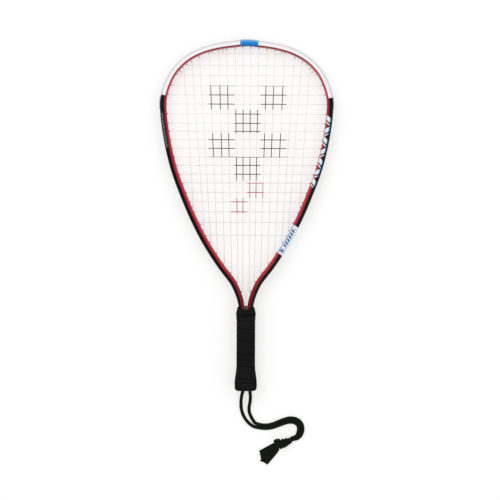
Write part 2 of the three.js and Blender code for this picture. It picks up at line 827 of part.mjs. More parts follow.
function buttCap() {
  const side = skirtSteps.map((y) => gripRing(skirtHalfWidth(y), y));
  const foot = [
    [capHalfWidth - half(fit), wrapBottom - fit], [capHalfWidth, wrapBottom - 2 * fit - wrapBevel],
    ...capRoundShares.map(([inward, up]) =>
      [capHalfWidth - inward * capEdgeRound, up * capEdgeRound]),
  ].map(([width, y]) => gripRing(width, y));
  const rings = [...side, ...foot];
  const section = rings[0].map((point) => [point.x, point.z]);
  const outer = solid(solidFromRings(rings, flatFaces(section)));
  const bore = gripRing(shellHalfWidth + fit, 0);
  const boreRings = [capSkirtTop + overrun, capFloor].map((y) => bore.map((p) => p.clone().setY(y)));
  const cavity = solid(solidFromRings(boreRings, flatFaces(section)));
  const cuts = [cavity, pocket(), pinBore(), staple(1, fit), staple(-1, fit)];
  return geometryOf(outer.subtract(wasm.Manifold.union(cuts)));
}

// Pocket with round ends and a flared mouth, cut up from the end face
function pocket() {
  const slot = (spread, y) => {
    const ends = pocketHalfWidth - pocketHalfDepth;
    const radius = pocketHalfDepth + spread;
    const ring = [];
    for (let i = 0; i <= pocketSteps; i += 1) {
      const angle = lerp(-half(Math.PI), half(Math.PI), i / pocketSteps);
      ring.push(new THREE.Vector3(pinOffset + ends + radius * Math.cos(angle), y,
        radius * Math.sin(angle)));
    }
    return [...ring, ...ring.map((p) => new THREE.Vector3(2 * pinOffset - p.x, y, -p.z))];
  };
  const rings = [slot(pocketFlare, -overrun), slot(pocketFlare, 0), slot(0, pocketFlare),
    slot(0, pocketDepth)];
  const section = rings[0].map((point) => [point.x, point.z]);
  return solid(solidFromRings(rings, flatFaces(section)));
}

const pinHalfLength = pocketHalfDepth + pinGrip;

function pinSolid(radius, halfLength) {
  const geometry = new THREE.CylinderGeometry(radius, radius, 2 * halfLength, pinSides);
  return geometry.rotateX(half(Math.PI)).translate(pinOffset, pinHeight, 0);
}

const pinBore = () => solid(pinSolid(half(pinDiameter) + fit, pinHalfLength + fit));

// Staple driven through the cap's skirt into the shell, its crown sunk flush with the skirt; with a
// margin it is the room that the cap and the shell leave for it
function staple(face, margin) {
  const shellFace = shellHalfWidth - gripFlattening;
  const top = skirtHalfWidth(stapleHeight) - gripFlattening;
  const foot = shellFace - stapleReach;
  const box = (width, height, x) => {
    const size = [width + 2 * margin, stapleWire + 2 * margin, height + 2 * margin];
    return new THREE.BoxGeometry(...size)
      .translate(x, stapleHeight, face * (top - half(height) + (margin > 0 ? half(margin) : 0)));
  };
  const legX = half(stapleCrown - stapleWire);
  return joined([box(stapleCrown, stapleThickness, 0), box(stapleWire, top - foot, legX),
    box(stapleWire, top - foot, -legX)]);
}

// Grip wrap: one strip wound up the handle, cut to a point at both ends

function wrapRadius(y) {
  const rise = Math.max(0, y - capSkirtTop) / half(wrapPitch);
  return lerp(skirtHalfWidth(y) + fit, wrapInner, Math.min(1, rise));
}

function gripWrap() {
  const width = wrapPitch - wrapSeam;
  const turns = (wrapTop - wrapBottom + width - 2 * wrapTip) / wrapPitch;
  const steps = Math.floor(turns * wrapStepsPerTurn);
  const rings = [];
  for (let i = 0; i <= steps; i += 1) {
    const base = wrapBottom - width + wrapTip + (i / wrapStepsPerTurn) * wrapPitch;
    const low = Math.min(Math.max(base, wrapBottom), wrapTop - wrapTip);
    const high = Math.max(Math.min(base + width, wrapTop), wrapBottom + wrapTip);
    const corner = i % wrapStepsPerTurn;
    const inner = [low, half(low + high), high].map((y) => gripRing(wrapRadius(y), y)[corner]);
    const outer = wrapFaceShares.map((share) => {
      const y = lerp(low, high, share);
      const edge = share % 1 === 0 ? wrapBevel : 0;
      return gripRing(wrapRadius(y) + wrapThickness - edge, y)[corner];
    });
    rings.push([...inner, ...outer.reverse()]);
  }
  const gaps = rings.slice(wrapStepsPerTurn).map((ring, i) => ring[0].distanceTo(rings[i][2]));
  console.log("grip_wrap least gap between its turns", Math.min(...gaps).toFixed(2), "mm");
  const flat = [[0, 0], [half(1), 0], [1, 0],
    ...wrapFaceShares.map((share) => [share, share % 1 === 0 ? half(1) : 1]).reverse()];
  return solidFromRings(rings, flatFaces(flat));
}

// Laying down: the butt flare and the head tip both touch the table, and the origin is on the
// table under the middle of the racket without its lanyard

const buttHalfDepth = capHalfWidth - gripFlattening;
const contactLength = tubeReach - half(tubeWidth) - half(capEdgeRound + wrapBottom);
const restTilt = -Math.asin((buttHalfDepth - tubeHalfDepth) / contactLength);
const restMatrix = new THREE.Matrix4().makeRotationX(restTilt);

function assemble() {
  const group = new THREE.Group();
  group.name = "racquetball_racket";
  const pieces = [];
  const add = (name, geometry, colour, roughness, metalness = 0) => {
    pieces.push({ name, geometry, colour, roughness, metalness });
  };
  add("frame_tube", frameTube(), 0x8e1f2b, 0.3, 0.1);
  add("bumper_guard", bumperGuard(), 0xd9dde0, 0.35);
  add("grommet_strip_left", grommetStrip(-1), 0xc3c6c8, 0.4);
  add("grommet_strip_right", grommetStrip(1), 0xc3c6c8, 0.4);
  add("main_string", mainString(), 0xf2efe8, 0.35);
  add("cross_string", crossString(), 0xf2efe8, 0.35);
  add("main_string_knot_left", tieKnot(mirrored(mainTie)), 0xf2efe8, 0.4);
  add("main_string_knot_right", tieKnot(mainTie), 0xf2efe8, 0.4);
  add("cross_string_knot_crown", tieKnot(crossTieCrown), 0xf2efe8, 0.4);
  add("cross_string_knot_throat", tieKnot(crossTieThroat), 0xf2efe8, 0.4);
  add("throat_plug", throatPlug(), 0x3a3b3d, 0.8);
  add("grip_collar", gripCollar(), 0x121213, 0.7);
  add("finishing_tape", finishingTape(), 0x17171a, 0.6);
  add("grip_wrap", gripWrap(), 0x1c1c1e, 0.85);
  add("handle_shell_front", handleShell(1), 0x2c2d30, 0.7);
  add("handle_shell_back", handleShell(-1), 0x2c2d30, 0.7);
  add("leg_spacer", legSpacer(), 0x55565a, 0.95);
  add("butt_cap", buttCap(), 0x151516, 0.65);
  add("butt_staple_front", geometryOf(staple(1, 0)), 0xa9adb2, 0.35, 0.9);
  add("butt_staple_back", geometryOf(staple(-1, 0)), 0xa9adb2, 0.35, 0.9);
  add("lanyard_pin", pinSolid(half(pinDiameter), pinHalfLength), 0xa9adb2, 0.3, 0.9);

  const box = new THREE.Box3();
  pieces.forEach(({ geometry }) => {
    geometry.applyMatrix4(restMatrix);
    geometry.computeBoundingBox();
    box.union(geometry.boundingBox);
  });
  const settle = new THREE.Vector3(0, -half(box.min.y + box.max.y), -box.min.z);
  const lanyard = lanyardParts(settle.z);
  const onTable = new Set(lanyard.map(({ name }) => name));
  pieces.push(...lanyard);

  pieces.forEach(({ name, geometry, colour, roughness, metalness }) => {
    geometry.translate(0, settle.y, onTable.has(name) ? 0 : settle.z);
    const material = new THREE.MeshStandardMaterial({ color: colour, roughness, metalness });
    const mesh = new THREE.Mesh(geometry, material);
    mesh.name = name;
    group.add(mesh);
  });
  return group;
}

// Lanyard, drawn at its height over the table, with y from the butt end

function strandPoints(route, lift) {
  const floor = half(cordDiameter) + cordRestClearance;
  return route.map(([x, y], index) => {
    const share = fallShares[Math.min(index, fallShares.length - 1)];
    return new THREE.Vector3(x, y, lerp(lift, floor, share));
  });
}

function lanyardParts(lift) {
  const colour = 0x141513;
  const parts = [];
  const add = (name, geometry) =>
    parts.push({ name, geometry, colour, roughness: 0.9, metalness: 0 });
  const pin = new THREE.Vector3(pinOffset, pinHeight, 0).applyMatrix4(restMatrix);
  const mouthHeight = pin.z + lift;
  const left = strandPoints(leftStrandRoute, mouthHeight);
  const right = strandPoints(rightStrandRoute, mouthHeight);
  const smoothed = (points, count) =>
    new THREE.CatmullRomCurve3(points, false, "centripetal").getSpacedPoints(count);
  const strand = (points, steps) => tubeAlong(smoothed(points, steps), half(cordDiameter), cordSides);
  add("lanyard_strand_left", strand(left, leftStrandSteps));
  add("lanyard_strand_right", strand(right, rightStrandSteps));
  add("lanyard_bight", lanyardBight(pin, left, right, mouthHeight));
  add("lanyard_knot", lanyardKnot());
  add("lanyard_tail_upper", lanyardTail(tailUpperSide, tailUpperTurn));
  add("lanyard_tail_lower", lanyardTail(tailLowerSide, tailLowerTurn));
  return parts;
}

// Turn of the cord round the pin, its two faces square to the strands that go on from them
function lanyardBight(pin, left, right, height) {
  const reach = half(pinDiameter) + bightClearance + half(cordDiameter);
  const turn = [];
  for (let i = 0; i <= bightSteps; i += 1) {
    const angle = lerp(Math.PI, 0, i / bightSteps);
    turn.push(new THREE.Vector3(pin.x + reach * Math.cos(angle), pin.y + reach * Math.sin(angle),
      height));
  }
  const lead = (strand, distance) => {
    const back = strand[0].clone().sub(strand[1]).normalize();
    return strand[0].clone().addScaledVector(back, distance);
  };
  const points = [lead(left, cordJoint), lead(left, half(cordDiameter)), ...turn,
    lead(right, half(cordDiameter)), lead(right, cordJoint)];
  return tubeAlong(points, half(cordDiameter), cordSides);
}

// Overhand knot as one lumpy body
const knotAlong = new THREE.Vector3(Math.cos(knotTurn), Math.sin(knotTurn), 0);
const knotAcross = new THREE.Vector3(-knotAlong.y, knotAlong.x, 0);

function ringOf(count, point) {
  return Array.from({ length: count }, (_, i) => {
    const angle = (2 * Math.PI * i) / count;
    return point(Math.cos(angle), Math.sin(angle), angle);
  });
}

function lanyardKnot() {
  const centre = new THREE.Vector3(...knotCentre, knotHalfHeight + cordRestClearance);
  const rings = knotSwellShares.map((share, index) => {
    const offset = lerp(knotHalfLength, -knotHalfLength, index / (knotSwellShares.length - 1));
    return ringOf(knotSides, (across, up, angle) => {
      const bump = 1 - knotGrooveShare * (1 + Math.cos(knotTurnsAcross * angle + index));
      return centre.clone().addScaledVector(knotAlong, offset)
        .addScaledVector(knotAcross, knotHalfWidth * (across * knotWidthShares[index] * bump
          + knotLeanShares[index]))
        .addScaledVector(UP, up * knotHalfHeight * share);
    });
  });
  return solidFromRings(rings, flatFaces(ringOf(knotSides, (x, y) => [x, y])));
}

// Frayed cord end beyond the knot: a flat fan with ribs pressed across it
function lanyardTail(side, turn) {
  const heading = Math.PI + knotTurn + turn;
  const along = new THREE.Vector3(Math.cos(heading), Math.sin(heading), 0);
  const across = new THREE.Vector3(-along.y, along.x, 0);
  const set = knotHalfLength + 2 * cordJoint + tailNeckHalfWidth * Math.sin(turn);
  const start = new THREE.Vector3(...knotCentre, tailHalfThickness + 2 * cordRestClearance)
    .addScaledVector(knotAlong, -set)
    .addScaledVector(knotAcross, side);
  const rings = Array.from({ length: tailRibs + 1 }, (_, i) => {
    const share = i / tailRibs;
    const rib = ribShares[i % 2];
    const width = lerp(tailNeckHalfWidth, tailEndHalfWidth, share) * rib;
    const centre = start.clone().addScaledVector(along, share * tailLength);
    return ringOf(tailSides, (u, v) => centre.clone().addScaledVector(across, u * width)
      .addScaledVector(UP, v * tailHalfThickness * rib));
  });
  return solidFromRings(rings, flatFaces(ringOf(tailSides, (x, y) => [x, y])));
}

export default assemble();
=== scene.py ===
"""Racquetball racket lying on a pale floor, seen from straight above.

Shapes are worked out in millimetres in the racket's own frame, butt end at y = 0, head along +Y
and strings in z = 0, and are laid on the floor as the CAD model is.
"""

import math

import bpy
import numpy as np
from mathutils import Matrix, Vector


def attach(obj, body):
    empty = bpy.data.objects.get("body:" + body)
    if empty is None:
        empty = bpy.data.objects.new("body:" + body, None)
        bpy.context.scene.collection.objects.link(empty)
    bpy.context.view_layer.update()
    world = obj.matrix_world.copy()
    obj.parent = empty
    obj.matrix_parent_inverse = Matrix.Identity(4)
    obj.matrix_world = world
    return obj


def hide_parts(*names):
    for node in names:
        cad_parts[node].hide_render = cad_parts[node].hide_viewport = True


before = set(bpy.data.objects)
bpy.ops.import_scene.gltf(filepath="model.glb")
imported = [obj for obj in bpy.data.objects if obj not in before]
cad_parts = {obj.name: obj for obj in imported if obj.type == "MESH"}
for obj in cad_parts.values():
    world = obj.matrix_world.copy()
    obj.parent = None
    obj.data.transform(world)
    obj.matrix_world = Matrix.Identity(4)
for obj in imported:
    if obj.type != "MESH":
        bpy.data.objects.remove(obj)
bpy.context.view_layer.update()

MM = 0.001
UP = np.array([0, 0, 1.0])
RACKET, LANYARD = "racket", "lanyard"
FACE_SAMPLE = 60000  # faces that are enough to tell a mesh's inside from its outside
WELD_BELOW = 0.00001  # metres between points that are one point

# Where the racket frame lies in the row frame: a small tilt about X, then a shift
TILT = -0.0080067
SHIFT_Y, SHIFT_Z = -279.365, 15.441

# Head and tube, as in the CAD source
LENGTH, HALF_SPAN = 558.8, 137.6
TUBE_WIDTH, TUBE_DEPTH = 9.8, 22.0
LEG_WIDTH, LEG_DEPTH = 9.2, 16.4
LEG_FOOT, LEG_HALF_SPAN, LEG_EASE, LEG_TOP, THROAT_TOP = 14.8, 10.5, 0.65, 121.0, 150.0
CHANNEL_DEPTH, CHANNEL_HALF, CHANNEL_FLARE = 2.8, 3.3, 1.0
GUARD_STAND, GUARD_END_STAND, GUARD_TAPER, GUARD_WALL = 1.8, 0.5, 30.0, 0.7
GUARD_HALF_DEPTH, GUARD_GROOVE, GUARD_END_SHARE = 8.4, 2.5, 0.7424
STRIP_THICKNESS, STRIP_JOINT, STRIP_TAIL, FIT = 0.7, 1.2, 19.0, 0.3
STRING_RADIUS, BARREL_RADIUS, BORE_RADIUS = 0.65, 1.45, 1.0
NUB, BEND_ROOM, LEAN, LANE, LANE_CLEAR, LANE_LEAD = 2.2, 1.0, 0.15, 1.5, 0.4, 1.5
THROAT_TIE = 0.28

CROWN = [(1, 0), (0.9945, 0.182), (0.9851, 0.364), (0.9677, 0.545), (0.9383, 0.713),
         (0.8956, 0.85), (0.8429, 0.943), (0.7858, 0.9965), (0.7432, 1)]
FLANK = [(0.6977, 0.9866), (0.6104, 0.9361), (0.5227, 0.8593), (0.4353, 0.7488),
         (0.348, 0.6211), (0.2603, 0.4663), (0.1729, 0.2736), (0.1074, 0.1058),
         (0.0636, 0.0392), (0.0419, 0.0181)]
MAIN_CROWN = [0.042, 0.137, 0.233, 0.323, 0.435, 0.549, 0.633, 0.725]
MAIN_THROAT = [0.038, 0.094, 0.167, 0.249, 0.331, 0.409, 0.485, 0.613]
CROSSES = [0.9479, 0.9052, 0.8696, 0.8322, 0.7987, 0.7654, 0.7294, 0.6956, 0.6665, 0.6357,
           0.6044, 0.5727, 0.5427, 0.5105, 0.4785, 0.4445, 0.4101, 0.3737, 0.3355, 0.2883]

# Handle and butt cap
SHELL_HALF, FLATTENING, CORNER, EASE = 12.9, 2.35, 4.2, 1.2
WRAP_THICKNESS, WRAP_TOP, WRAP_BOTTOM = 1.65, 112.0, 12.6
WRAP_PITCH, WRAP_SEAM, WRAP_TIP = 20.0, 0.5, 2.4
TAPE_BOTTOM, TAPE_TOP, TAPE_THICKNESS = 112.5, 120.2, 2.05
COLLAR_BOTTOM, COLLAR_TOP, COLLAR_HALF, COLLAR_LIP = 120.4, 133.6, 15.85, 0.65
COLLAR_CORNER, COLLAR_FIT, COLLAR_EDGE, COLLAR_WAIST, COLLAR_DIP = 2.6, 0.55, 1.65, 0.55, 4.6
SKIRT_TOP, SKIRT_LIP, SKIRT_FOOT, SKIRT_CURVE = 30.0, 0.5, 16.0, 0.85
CAP_HALF, CAP_ROUND, CAP_FLOOR = 17.7, 6.4, 14.2
POCKET_HALF, POCKET_HALF_DEPTH, POCKET_DEPTH = 11.8, 3.6, 12.7
PIN_DIAMETER, PIN_HEIGHT, PIN_OFFSET = 3.0, 5.0, 1.7

# Lanyard
CORD_DIAMETER, CORD_REST, BIGHT_CLEAR = 5.4, 0.12, 0.45
KNOT_CENTRE, KNOT_TURN = (59.2, -83.4), 0.392
KNOT_LENGTH, KNOT_HEIGHT = 13.8, 5.5
TAIL_LENGTH, TAIL_NECK, TAIL_END, TAIL_HALF = 22.5, 4.0, 6.0, 1.8
TAILS = {"upper": (0.5, 0.205), "lower": (-8.4, 0.395)}
LEFT_ROUTE = [(-4.6, -1.5), (-5.9, -6), (-7, -13), (-7.4, -20), (-7.1, -27), (-5.7, -34),
              (-2.6, -41.9), (3.6, -50.6), (12.2, -57.6), (21.5, -60.1), (30.1, -61.1),
              (38.7, -60.5), (47.1, -58.2), (55.1, -55), (62.9, -52.1), (70.8, -50.2),
              (78.3, -51.4), (83.2, -55.4), (84.9, -61), (83.9, -67), (80.8, -71.8),
              (71.1, -75.3)]
RIGHT_ROUTE = [(6.8, -1.5), (7.4, -6), (7.5, -13), (6.7, -20), (5.6, -27), (5.8, -34),
               (8.1, -40.8), (11.4, -46.8), (15.5, -51.8), (22.9, -54.3), (30.3, -55.2),
               (37.7, -54.7), (45.3, -52.6), (53.1, -49.6), (61.3, -46.5), (70.6, -44.4),
               (81, -45.8), (88.7, -51.6), (91.2, -60.6), (89.5, -69.4), (84, -76.9),
               (73.4, -80.7)]
FALL = [0, 0.08, 0.33, 0.66, 0.9, 1]

# ---- placing and meshes


def laid(points):
    """Racket frame in millimetres to the row frame in metres."""
    p = np.asarray(points, float).reshape(-1, 3)
    c, s = math.cos(TILT), math.sin(TILT)
    return MM * np.column_stack([p[:, 0], p[:, 1] * c - p[:, 2] * s + SHIFT_Y,
                                 p[:, 1] * s + p[:, 2] * c + SHIFT_Z])


def on_table(points):
    """Lanyard points, drawn at their height over the table, to the row frame."""
    p = np.asarray(points, float).reshape(-1, 3)
    return MM * (p + np.array([0, SHIFT_Y, 0]))


def smoothstep(x, low, high):
    t = np.clip((np.asarray(x, float) - low) / (high - low), 0, 1)
    return t * t * (3 - 2 * t)


def mix(a, b, t):
    return a + (b - a) * t


def unit(vector):
    return vector / np.linalg.norm(vector)


def circle(count):
    """Equal angles round a circle."""
    return 2 * math.pi * np.arange(count) / count


def distances(path):
    """How far along a line each of its points lies."""
    return np.concatenate([[0], np.cumsum(np.linalg.norm(np.diff(path, axis=0), axis=1))])


def outward(points, faces):
    """A closed shape's faces, all turned over where their volume comes out negative."""
    total = 0.0
    for face in faces[:FACE_SAMPLE]:
        a = points[face[0]]
        for b, c in zip(face[1:], face[2:]):
            total += float(np.dot(a, np.cross(points[b], points[c])))
    return faces if total >= 0 else [tuple(reversed(face)) for face in faces]


def new_object(name, points, faces):
    """An object of points in the row frame, its faces turned outward."""
    mesh = bpy.data.meshes.new(name)
    mesh.from_pydata(points.tolist(), [], outward(points, faces))
    obj = bpy.data.objects.new(name, mesh)
    bpy.context.scene.collection.objects.link(obj)
    return obj


def piece(name, points, faces, body, material, slot, replaces, lay=laid, sharp=45,
          attributes=None):
    """A smooth-shaded piece that rides on a body and stands for CAD nodes."""
    obj = new_object(name, lay(points), faces)
    mesh = obj.data
    mesh.validate()
    mesh.shade_smooth()
    mesh.set_sharp_from_angle(angle=math.radians(sharp))
    for key, values in (attributes or {}).items():
        layer = mesh.attributes.new(key, "FLOAT", "POINT")
        layer.data.foreach_set("value", np.asarray(values, np.float32))
    mesh.materials.append(material)
    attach(obj, body)
    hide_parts(*replaces)
    return obj


class Parts:
    """Several closed shapes gathered into one mesh."""

    def __init__(self):
        self.points, self.faces, self.count = [], [], 0

    def add(self, points, faces):
        self.points.append(points)
        self.faces.extend(tuple(i + self.count for i in face) for face in outward(points, faces))
        self.count += len(points)

    def all(self):
        return np.vstack(self.points), self.faces


def skin(rings, closed=False):
    """Faces over equal rings of points; open ends are capped with one face each."""
    rings = np.asarray(rings, float)
    n, m = rings.shape[:2]
    faces = []
    for i in range(n if closed else n - 1):
        a, b = i * m, ((i + 1) % n) * m
        faces.extend((a + j, a + (j + 1) % m, b + (j + 1) % m, b + j) for j in range(m))
    if not closed:
        faces.append(tuple(range(m))[::-1])
        faces.append(tuple(range((n - 1) * m, n * m)))
    return rings.reshape(-1, 3), faces


def frames_along(path):
    """Unit normal and binormal at each point of a path, carried along without twist."""
    tangent = np.gradient(path, axis=0)
    tangent /= np.linalg.norm(tangent, axis=1)[:, None]
    normal = np.empty_like(path)
    across = np.array([1.0, 0, 0]) if abs(tangent[0] @ UP) > 0.9 else UP
    for i, way in enumerate(tangent):
        across = unit(across - np.dot(across, way) * way)
        normal[i] = across
    return normal, np.cross(tangent, normal)


def tube(path, radius, sides, squash=1.0, relief=None):
    """Closed tube along a path. relief(angle, distance) gives extra radius for each point."""
    path = np.asarray(path, float)
    normal, side = frames_along(path)
    angle = circle(sides)
    r = np.broadcast_to(np.asarray(radius, float).reshape(-1, 1), (len(path), sides)).copy()
    if relief is not None:
        r += relief(angle[None, :], distances(path)[:, None])
    ring = (path[:, None, :]
            + normal[:, None, :] * (np.cos(angle)[None, :] * r * squash)[..., None]
            + side[:, None, :] * (np.sin(angle)[None, :] * r)[..., None])
    return skin(ring)


def resample(path, step):
    """Points a fixed step apart along a polyline, ends kept."""
    path = np.asarray(path, float)
    d = distances(path)
    keep = np.concatenate([[True], np.diff(d) > 1e-9])
    path, d = path[keep], d[keep]
    count = max(2, int(round(d[-1] / step)) + 1)
    at = np.linspace(0, d[-1], count)
    return np.column_stack([np.interp(at, d, path[:, k]) for k in range(path.shape[1])])


def smooth_curve(points, per_segment=24):
    """Centripetal Catmull-Rom curve through the points."""
    p = np.asarray(points, float)
    p = np.vstack([2 * p[0] - p[1], p, 2 * p[-1] - p[-2]])
    out = []
    for i in range(1, len(p) - 2):
        x0, x1, x2, x3 = p[i - 1:i + 3]
        d0, d1, d2 = (max(np.linalg.norm(b - a) ** 0.5, 1e-6)
                      for a, b in ((x0, x1), (x1, x2), (x2, x3)))
        t1 = ((x1 - x0) / d0 - (x2 - x0) / (d0 + d1) + (x2 - x1) / d1) * d1
        t2 = ((x2 - x1) / d1 - (x3 - x1) / (d1 + d2) + (x3 - x2) / d2) * d1
        t = np.arange(per_segment)[:, None] / per_segment
        out.append(x1 + t1 * t + (-3 * x1 + 3 * x2 - 2 * t1 - t2) * t ** 2
                   + (2 * x1 - 2 * x2 + t1 + t2) * t ** 3)
    return np.vstack(out + [p[-2:-1]])


# ---- outline of the tube

REACH = LENGTH - GUARD_STAND
crown_points = [(mix(LEG_TOP, REACH, a), c * HALF_SPAN) for a, c in CROWN]
flank_points = [(mix(LEG_TOP, REACH, a), mix(LEG_HALF_SPAN, HALF_SPAN, c)) for a, c in FLANK]
side_points = crown_points + flank_points + [
    ((LEG_TOP + flank_points[-1][0]) / 2, LEG_HALF_SPAN + LEG_EASE),
    (LEG_TOP, LEG_HALF_SPAN), (LEG_TOP / 2, LEG_HALF_SPAN), (LEG_FOOT, LEG_HALF_SPAN)]
route = [(-x, y) for y, x in reversed(side_points[1:3])] + [(x, y) for y, x in side_points]
dense = smooth_curve(route, 60)[120:]
dense[0, 0] = 0
line_travel = distances(dense)
LINE_END = line_travel[-1]
line_way = np.gradient(dense, axis=0)
line_way /= np.linalg.norm(line_way, axis=1)[:, None]
line_way[0] = (1, 0)


def place(travel):
    """Point, direction and outward normal of the outline at a signed travel from the crown."""
    t = np.atleast_1d(np.asarray(travel, float))
    sign = np.where(t < 0, -1.0, 1.0)
    u = np.minimum(np.abs(t), LINE_END)
    x, y, wx, wy = (np.interp(u, line_travel, v) for v in (*dense.T, *line_way.T))
    norm = np.hypot(wx, wy)
    wx, wy = wx / norm, wy / norm
    return (np.column_stack([sign * x, y]), np.column_stack([wx, sign * wy]),
            np.column_stack([-sign * wy, wx]))


def section_points(travel, u, w):
    """Points of a section: u outward from the tube's middle, w along Z; arrays broadcast."""
    t = np.atleast_1d(np.asarray(travel, float))
    point, _, out = place(t)
    share = 1 - smoothstep(point[:, 1], LEG_TOP, THROAT_TOP)
    wide = mix(1, LEG_WIDTH / TUBE_WIDTH, share)[:, None]
    deep = mix(1, LEG_DEPTH / TUBE_DEPTH, share)[:, None]
    u = np.zeros((len(t), 1)) + u
    w = np.broadcast_to(w, u.shape)
    off = (u - TUBE_WIDTH / 2) * wide
    return np.stack([point[:, :1] + out[:, :1] * off, point[:, 1:] + out[:, 1:] * off,
                     w * deep], axis=-1)


def travel_at(y):
    """Travel at which the right side's outline comes down to a height."""
    return float(np.append(line_travel[dense[:, 1] < y], LINE_END)[0])


HALF_W, HALF_D = TUBE_WIDTH / 2, TUBE_DEPTH / 2
FLOOR_U = HALF_W - CHANNEL_DEPTH
BEND_U, NUB_U = -HALF_W - NUB - BEND_ROOM, -HALF_W - NUB
STRIP_U = FLOOR_U + FIT
LANE_U = STRIP_U + STRIP_THICKNESS + LANE_CLEAR + STRING_RADIUS
TURN_U = LANE_U - FIT


def inset(travel):
    return section_points(travel, BEND_U, 0.0)[0, 0]


def find(test, low, high):
    for _ in range(40):
        middle = (low + high) / 2
        if test(inset(middle)):
            high = middle
        else:
            low = middle
    return (low + high) / 2


class Hole:
    """Where a string meets the frame, and the way its barrel points."""

    def __init__(self, travel, string_out):
        _, along, out = place(travel)
        along, out = np.append(along[0], 0), np.append(out[0], 0)
        self.way = unit(out + LEAN * np.asarray(string_out, float))
        self.climb = float(self.way @ out)
        self.travel, self.bend = travel, inset(travel)
        self.exit = travel + float(self.way @ along) / self.climb * (LANE_U - BEND_U)

    def at(self, level):
        return self.bend + self.way * (level - BEND_U) / self.climb

    def mirrored(self):
        other = object.__new__(Hole)
        flip = np.array([-1.0, 1.0, 1.0])
        other.way, other.climb = self.way * flip, self.climb
        other.travel, other.bend, other.exit = -self.travel, self.bend * flip, -self.exit
        return other


GUARD_HEIGHT = mix(LEG_TOP, LENGTH, GUARD_END_SHARE)
widest, throat = travel_at(GUARD_HEIGHT), travel_at(LEG_TOP)
mains = []
for crown_share, throat_share in zip(MAIN_CROWN, MAIN_THROAT):
    top = find(lambda p: p[0] > crown_share * HALF_SPAN, 0, widest)
    low = find(lambda p: p[0] < throat_share * HALF_SPAN, widest, throat)
    way = unit(inset(top) - inset(low))
    mains.append((Hole(top, way), Hole(low, -way)))
crosses = [Hole(find(lambda p: p[1] < mix(LEG_TOP, LENGTH, share), 0, throat), (1, 0, 0))
           for share in CROSSES]


def tie_off(before, after, share=0.5):
    travel = mix(before.exit, after.exit, share)
    return Hole(travel, np.append(place(travel)[2][0], 0))


main_tie = tie_off(mains[-1][0], crosses[2])
cross_tie_crown = tie_off(mains[2][0], mains[3][0]).mirrored()
cross_tie_throat = tie_off(crosses[-2], mains[-2][1], THROAT_TIE).mirrored()
right_holes = [hole for pair in mains for hole in pair] + crosses + [main_tie]
all_holes = right_holes + [h.mirrored() for h in right_holes] + [cross_tie_crown,
                                                                cross_tie_throat]
GUARD_END = (max(h.exit for h in right_holes if h.exit < widest)
             + min(h.exit for h in right_holes if h.exit > widest)) / 2
STRIP_START, STRIP_END = GUARD_END + STRIP_JOINT, mains[0][1].exit + STRIP_TAIL

# ---- camera, light and floor

FIELD, CAMERA_HEIGHT, SENSOR = 0.795, 3.0, 36.0
CAMERA_X, CAMERA_Y, CAMERA_ROLL = 0.0061, -0.05540, 0.0036
OBJECT_LEVEL, LAMP_SIZE = 0.0154, 1.6
LAMPS = (("key_lamp", (-0.9, 1.1, 2.1), 15), ("fill_lamp", (1.3, -0.5, 1.9), 8))

scene = bpy.context.scene
scene.view_settings.view_transform = "Standard"
camera_data = bpy.data.cameras.new("camera")
camera_data.sensor_width = SENSOR
camera_data.lens = SENSOR * (CAMERA_HEIGHT - OBJECT_LEVEL) / FIELD
camera_data.clip_end = 20
camera = bpy.data.objects.new("camera", camera_data)
camera.location = (CAMERA_X, CAMERA_Y, CAMERA_HEIGHT)
camera.rotation_euler = (0, 0, CAMERA_ROLL)
scene.collection.objects.link(camera)
scene.camera = camera

for name, spot, watts in LAMPS:
    data = bpy.data.lights.new(name, "AREA")
    data.shape, data.size, data.energy = "SQUARE", LAMP_SIZE, watts
    lamp = bpy.data.objects.new(name, data)
    lamp.location = spot
    lamp.rotation_euler = (-Vector(spot)).to_track_quat("-Z", "Y").to_euler()
    lamp.visible_camera = False
    scene.collection.objects.link(lamp)

# ---- node trees


def operation(name):
    return lambda self, *others: self.nodes.math(name, self, *others)


class Value:
    """A value in a node tree; arithmetic on it adds math nodes.

    As masks, a * b is where both are 1 and a | b is where either is.
    """

    def __init__(self, nodes, socket):
        self.nodes, self.socket = nodes, socket

    __add__, __sub__, __mul__ = operation("ADD"), operation("SUBTRACT"), operation("MULTIPLY")
    __truediv__, __mod__ = operation("DIVIDE"), operation("FLOORED_MODULO")
    __or__, __abs__, root = operation("MAXIMUM"), operation("ABSOLUTE"), operation("SQRT")
    floor, fract = operation("FLOOR"), operation("FRACT")

    def __rsub__(self, number):
        return self.nodes.math("SUBTRACT", number, self)

    def span(self, low, high, start=0.0, end=1.0):
        """The value mapped from low..high to start..end, held at both ends."""
        return self.nodes.value("ShaderNodeMapRange", {
            "Value": self, "From Min": low, "From Max": high, "To Min": start, "To Max": end})

    def edge(self, at, soft=0.12):
        """0 below a place and 1 above it, with a soft step."""
        return self.span(at - soft, at + soft)

    def between(self, low, high, soft=0.12):
        return self.edge(low, soft) * (1.0 - self.edge(high, soft))


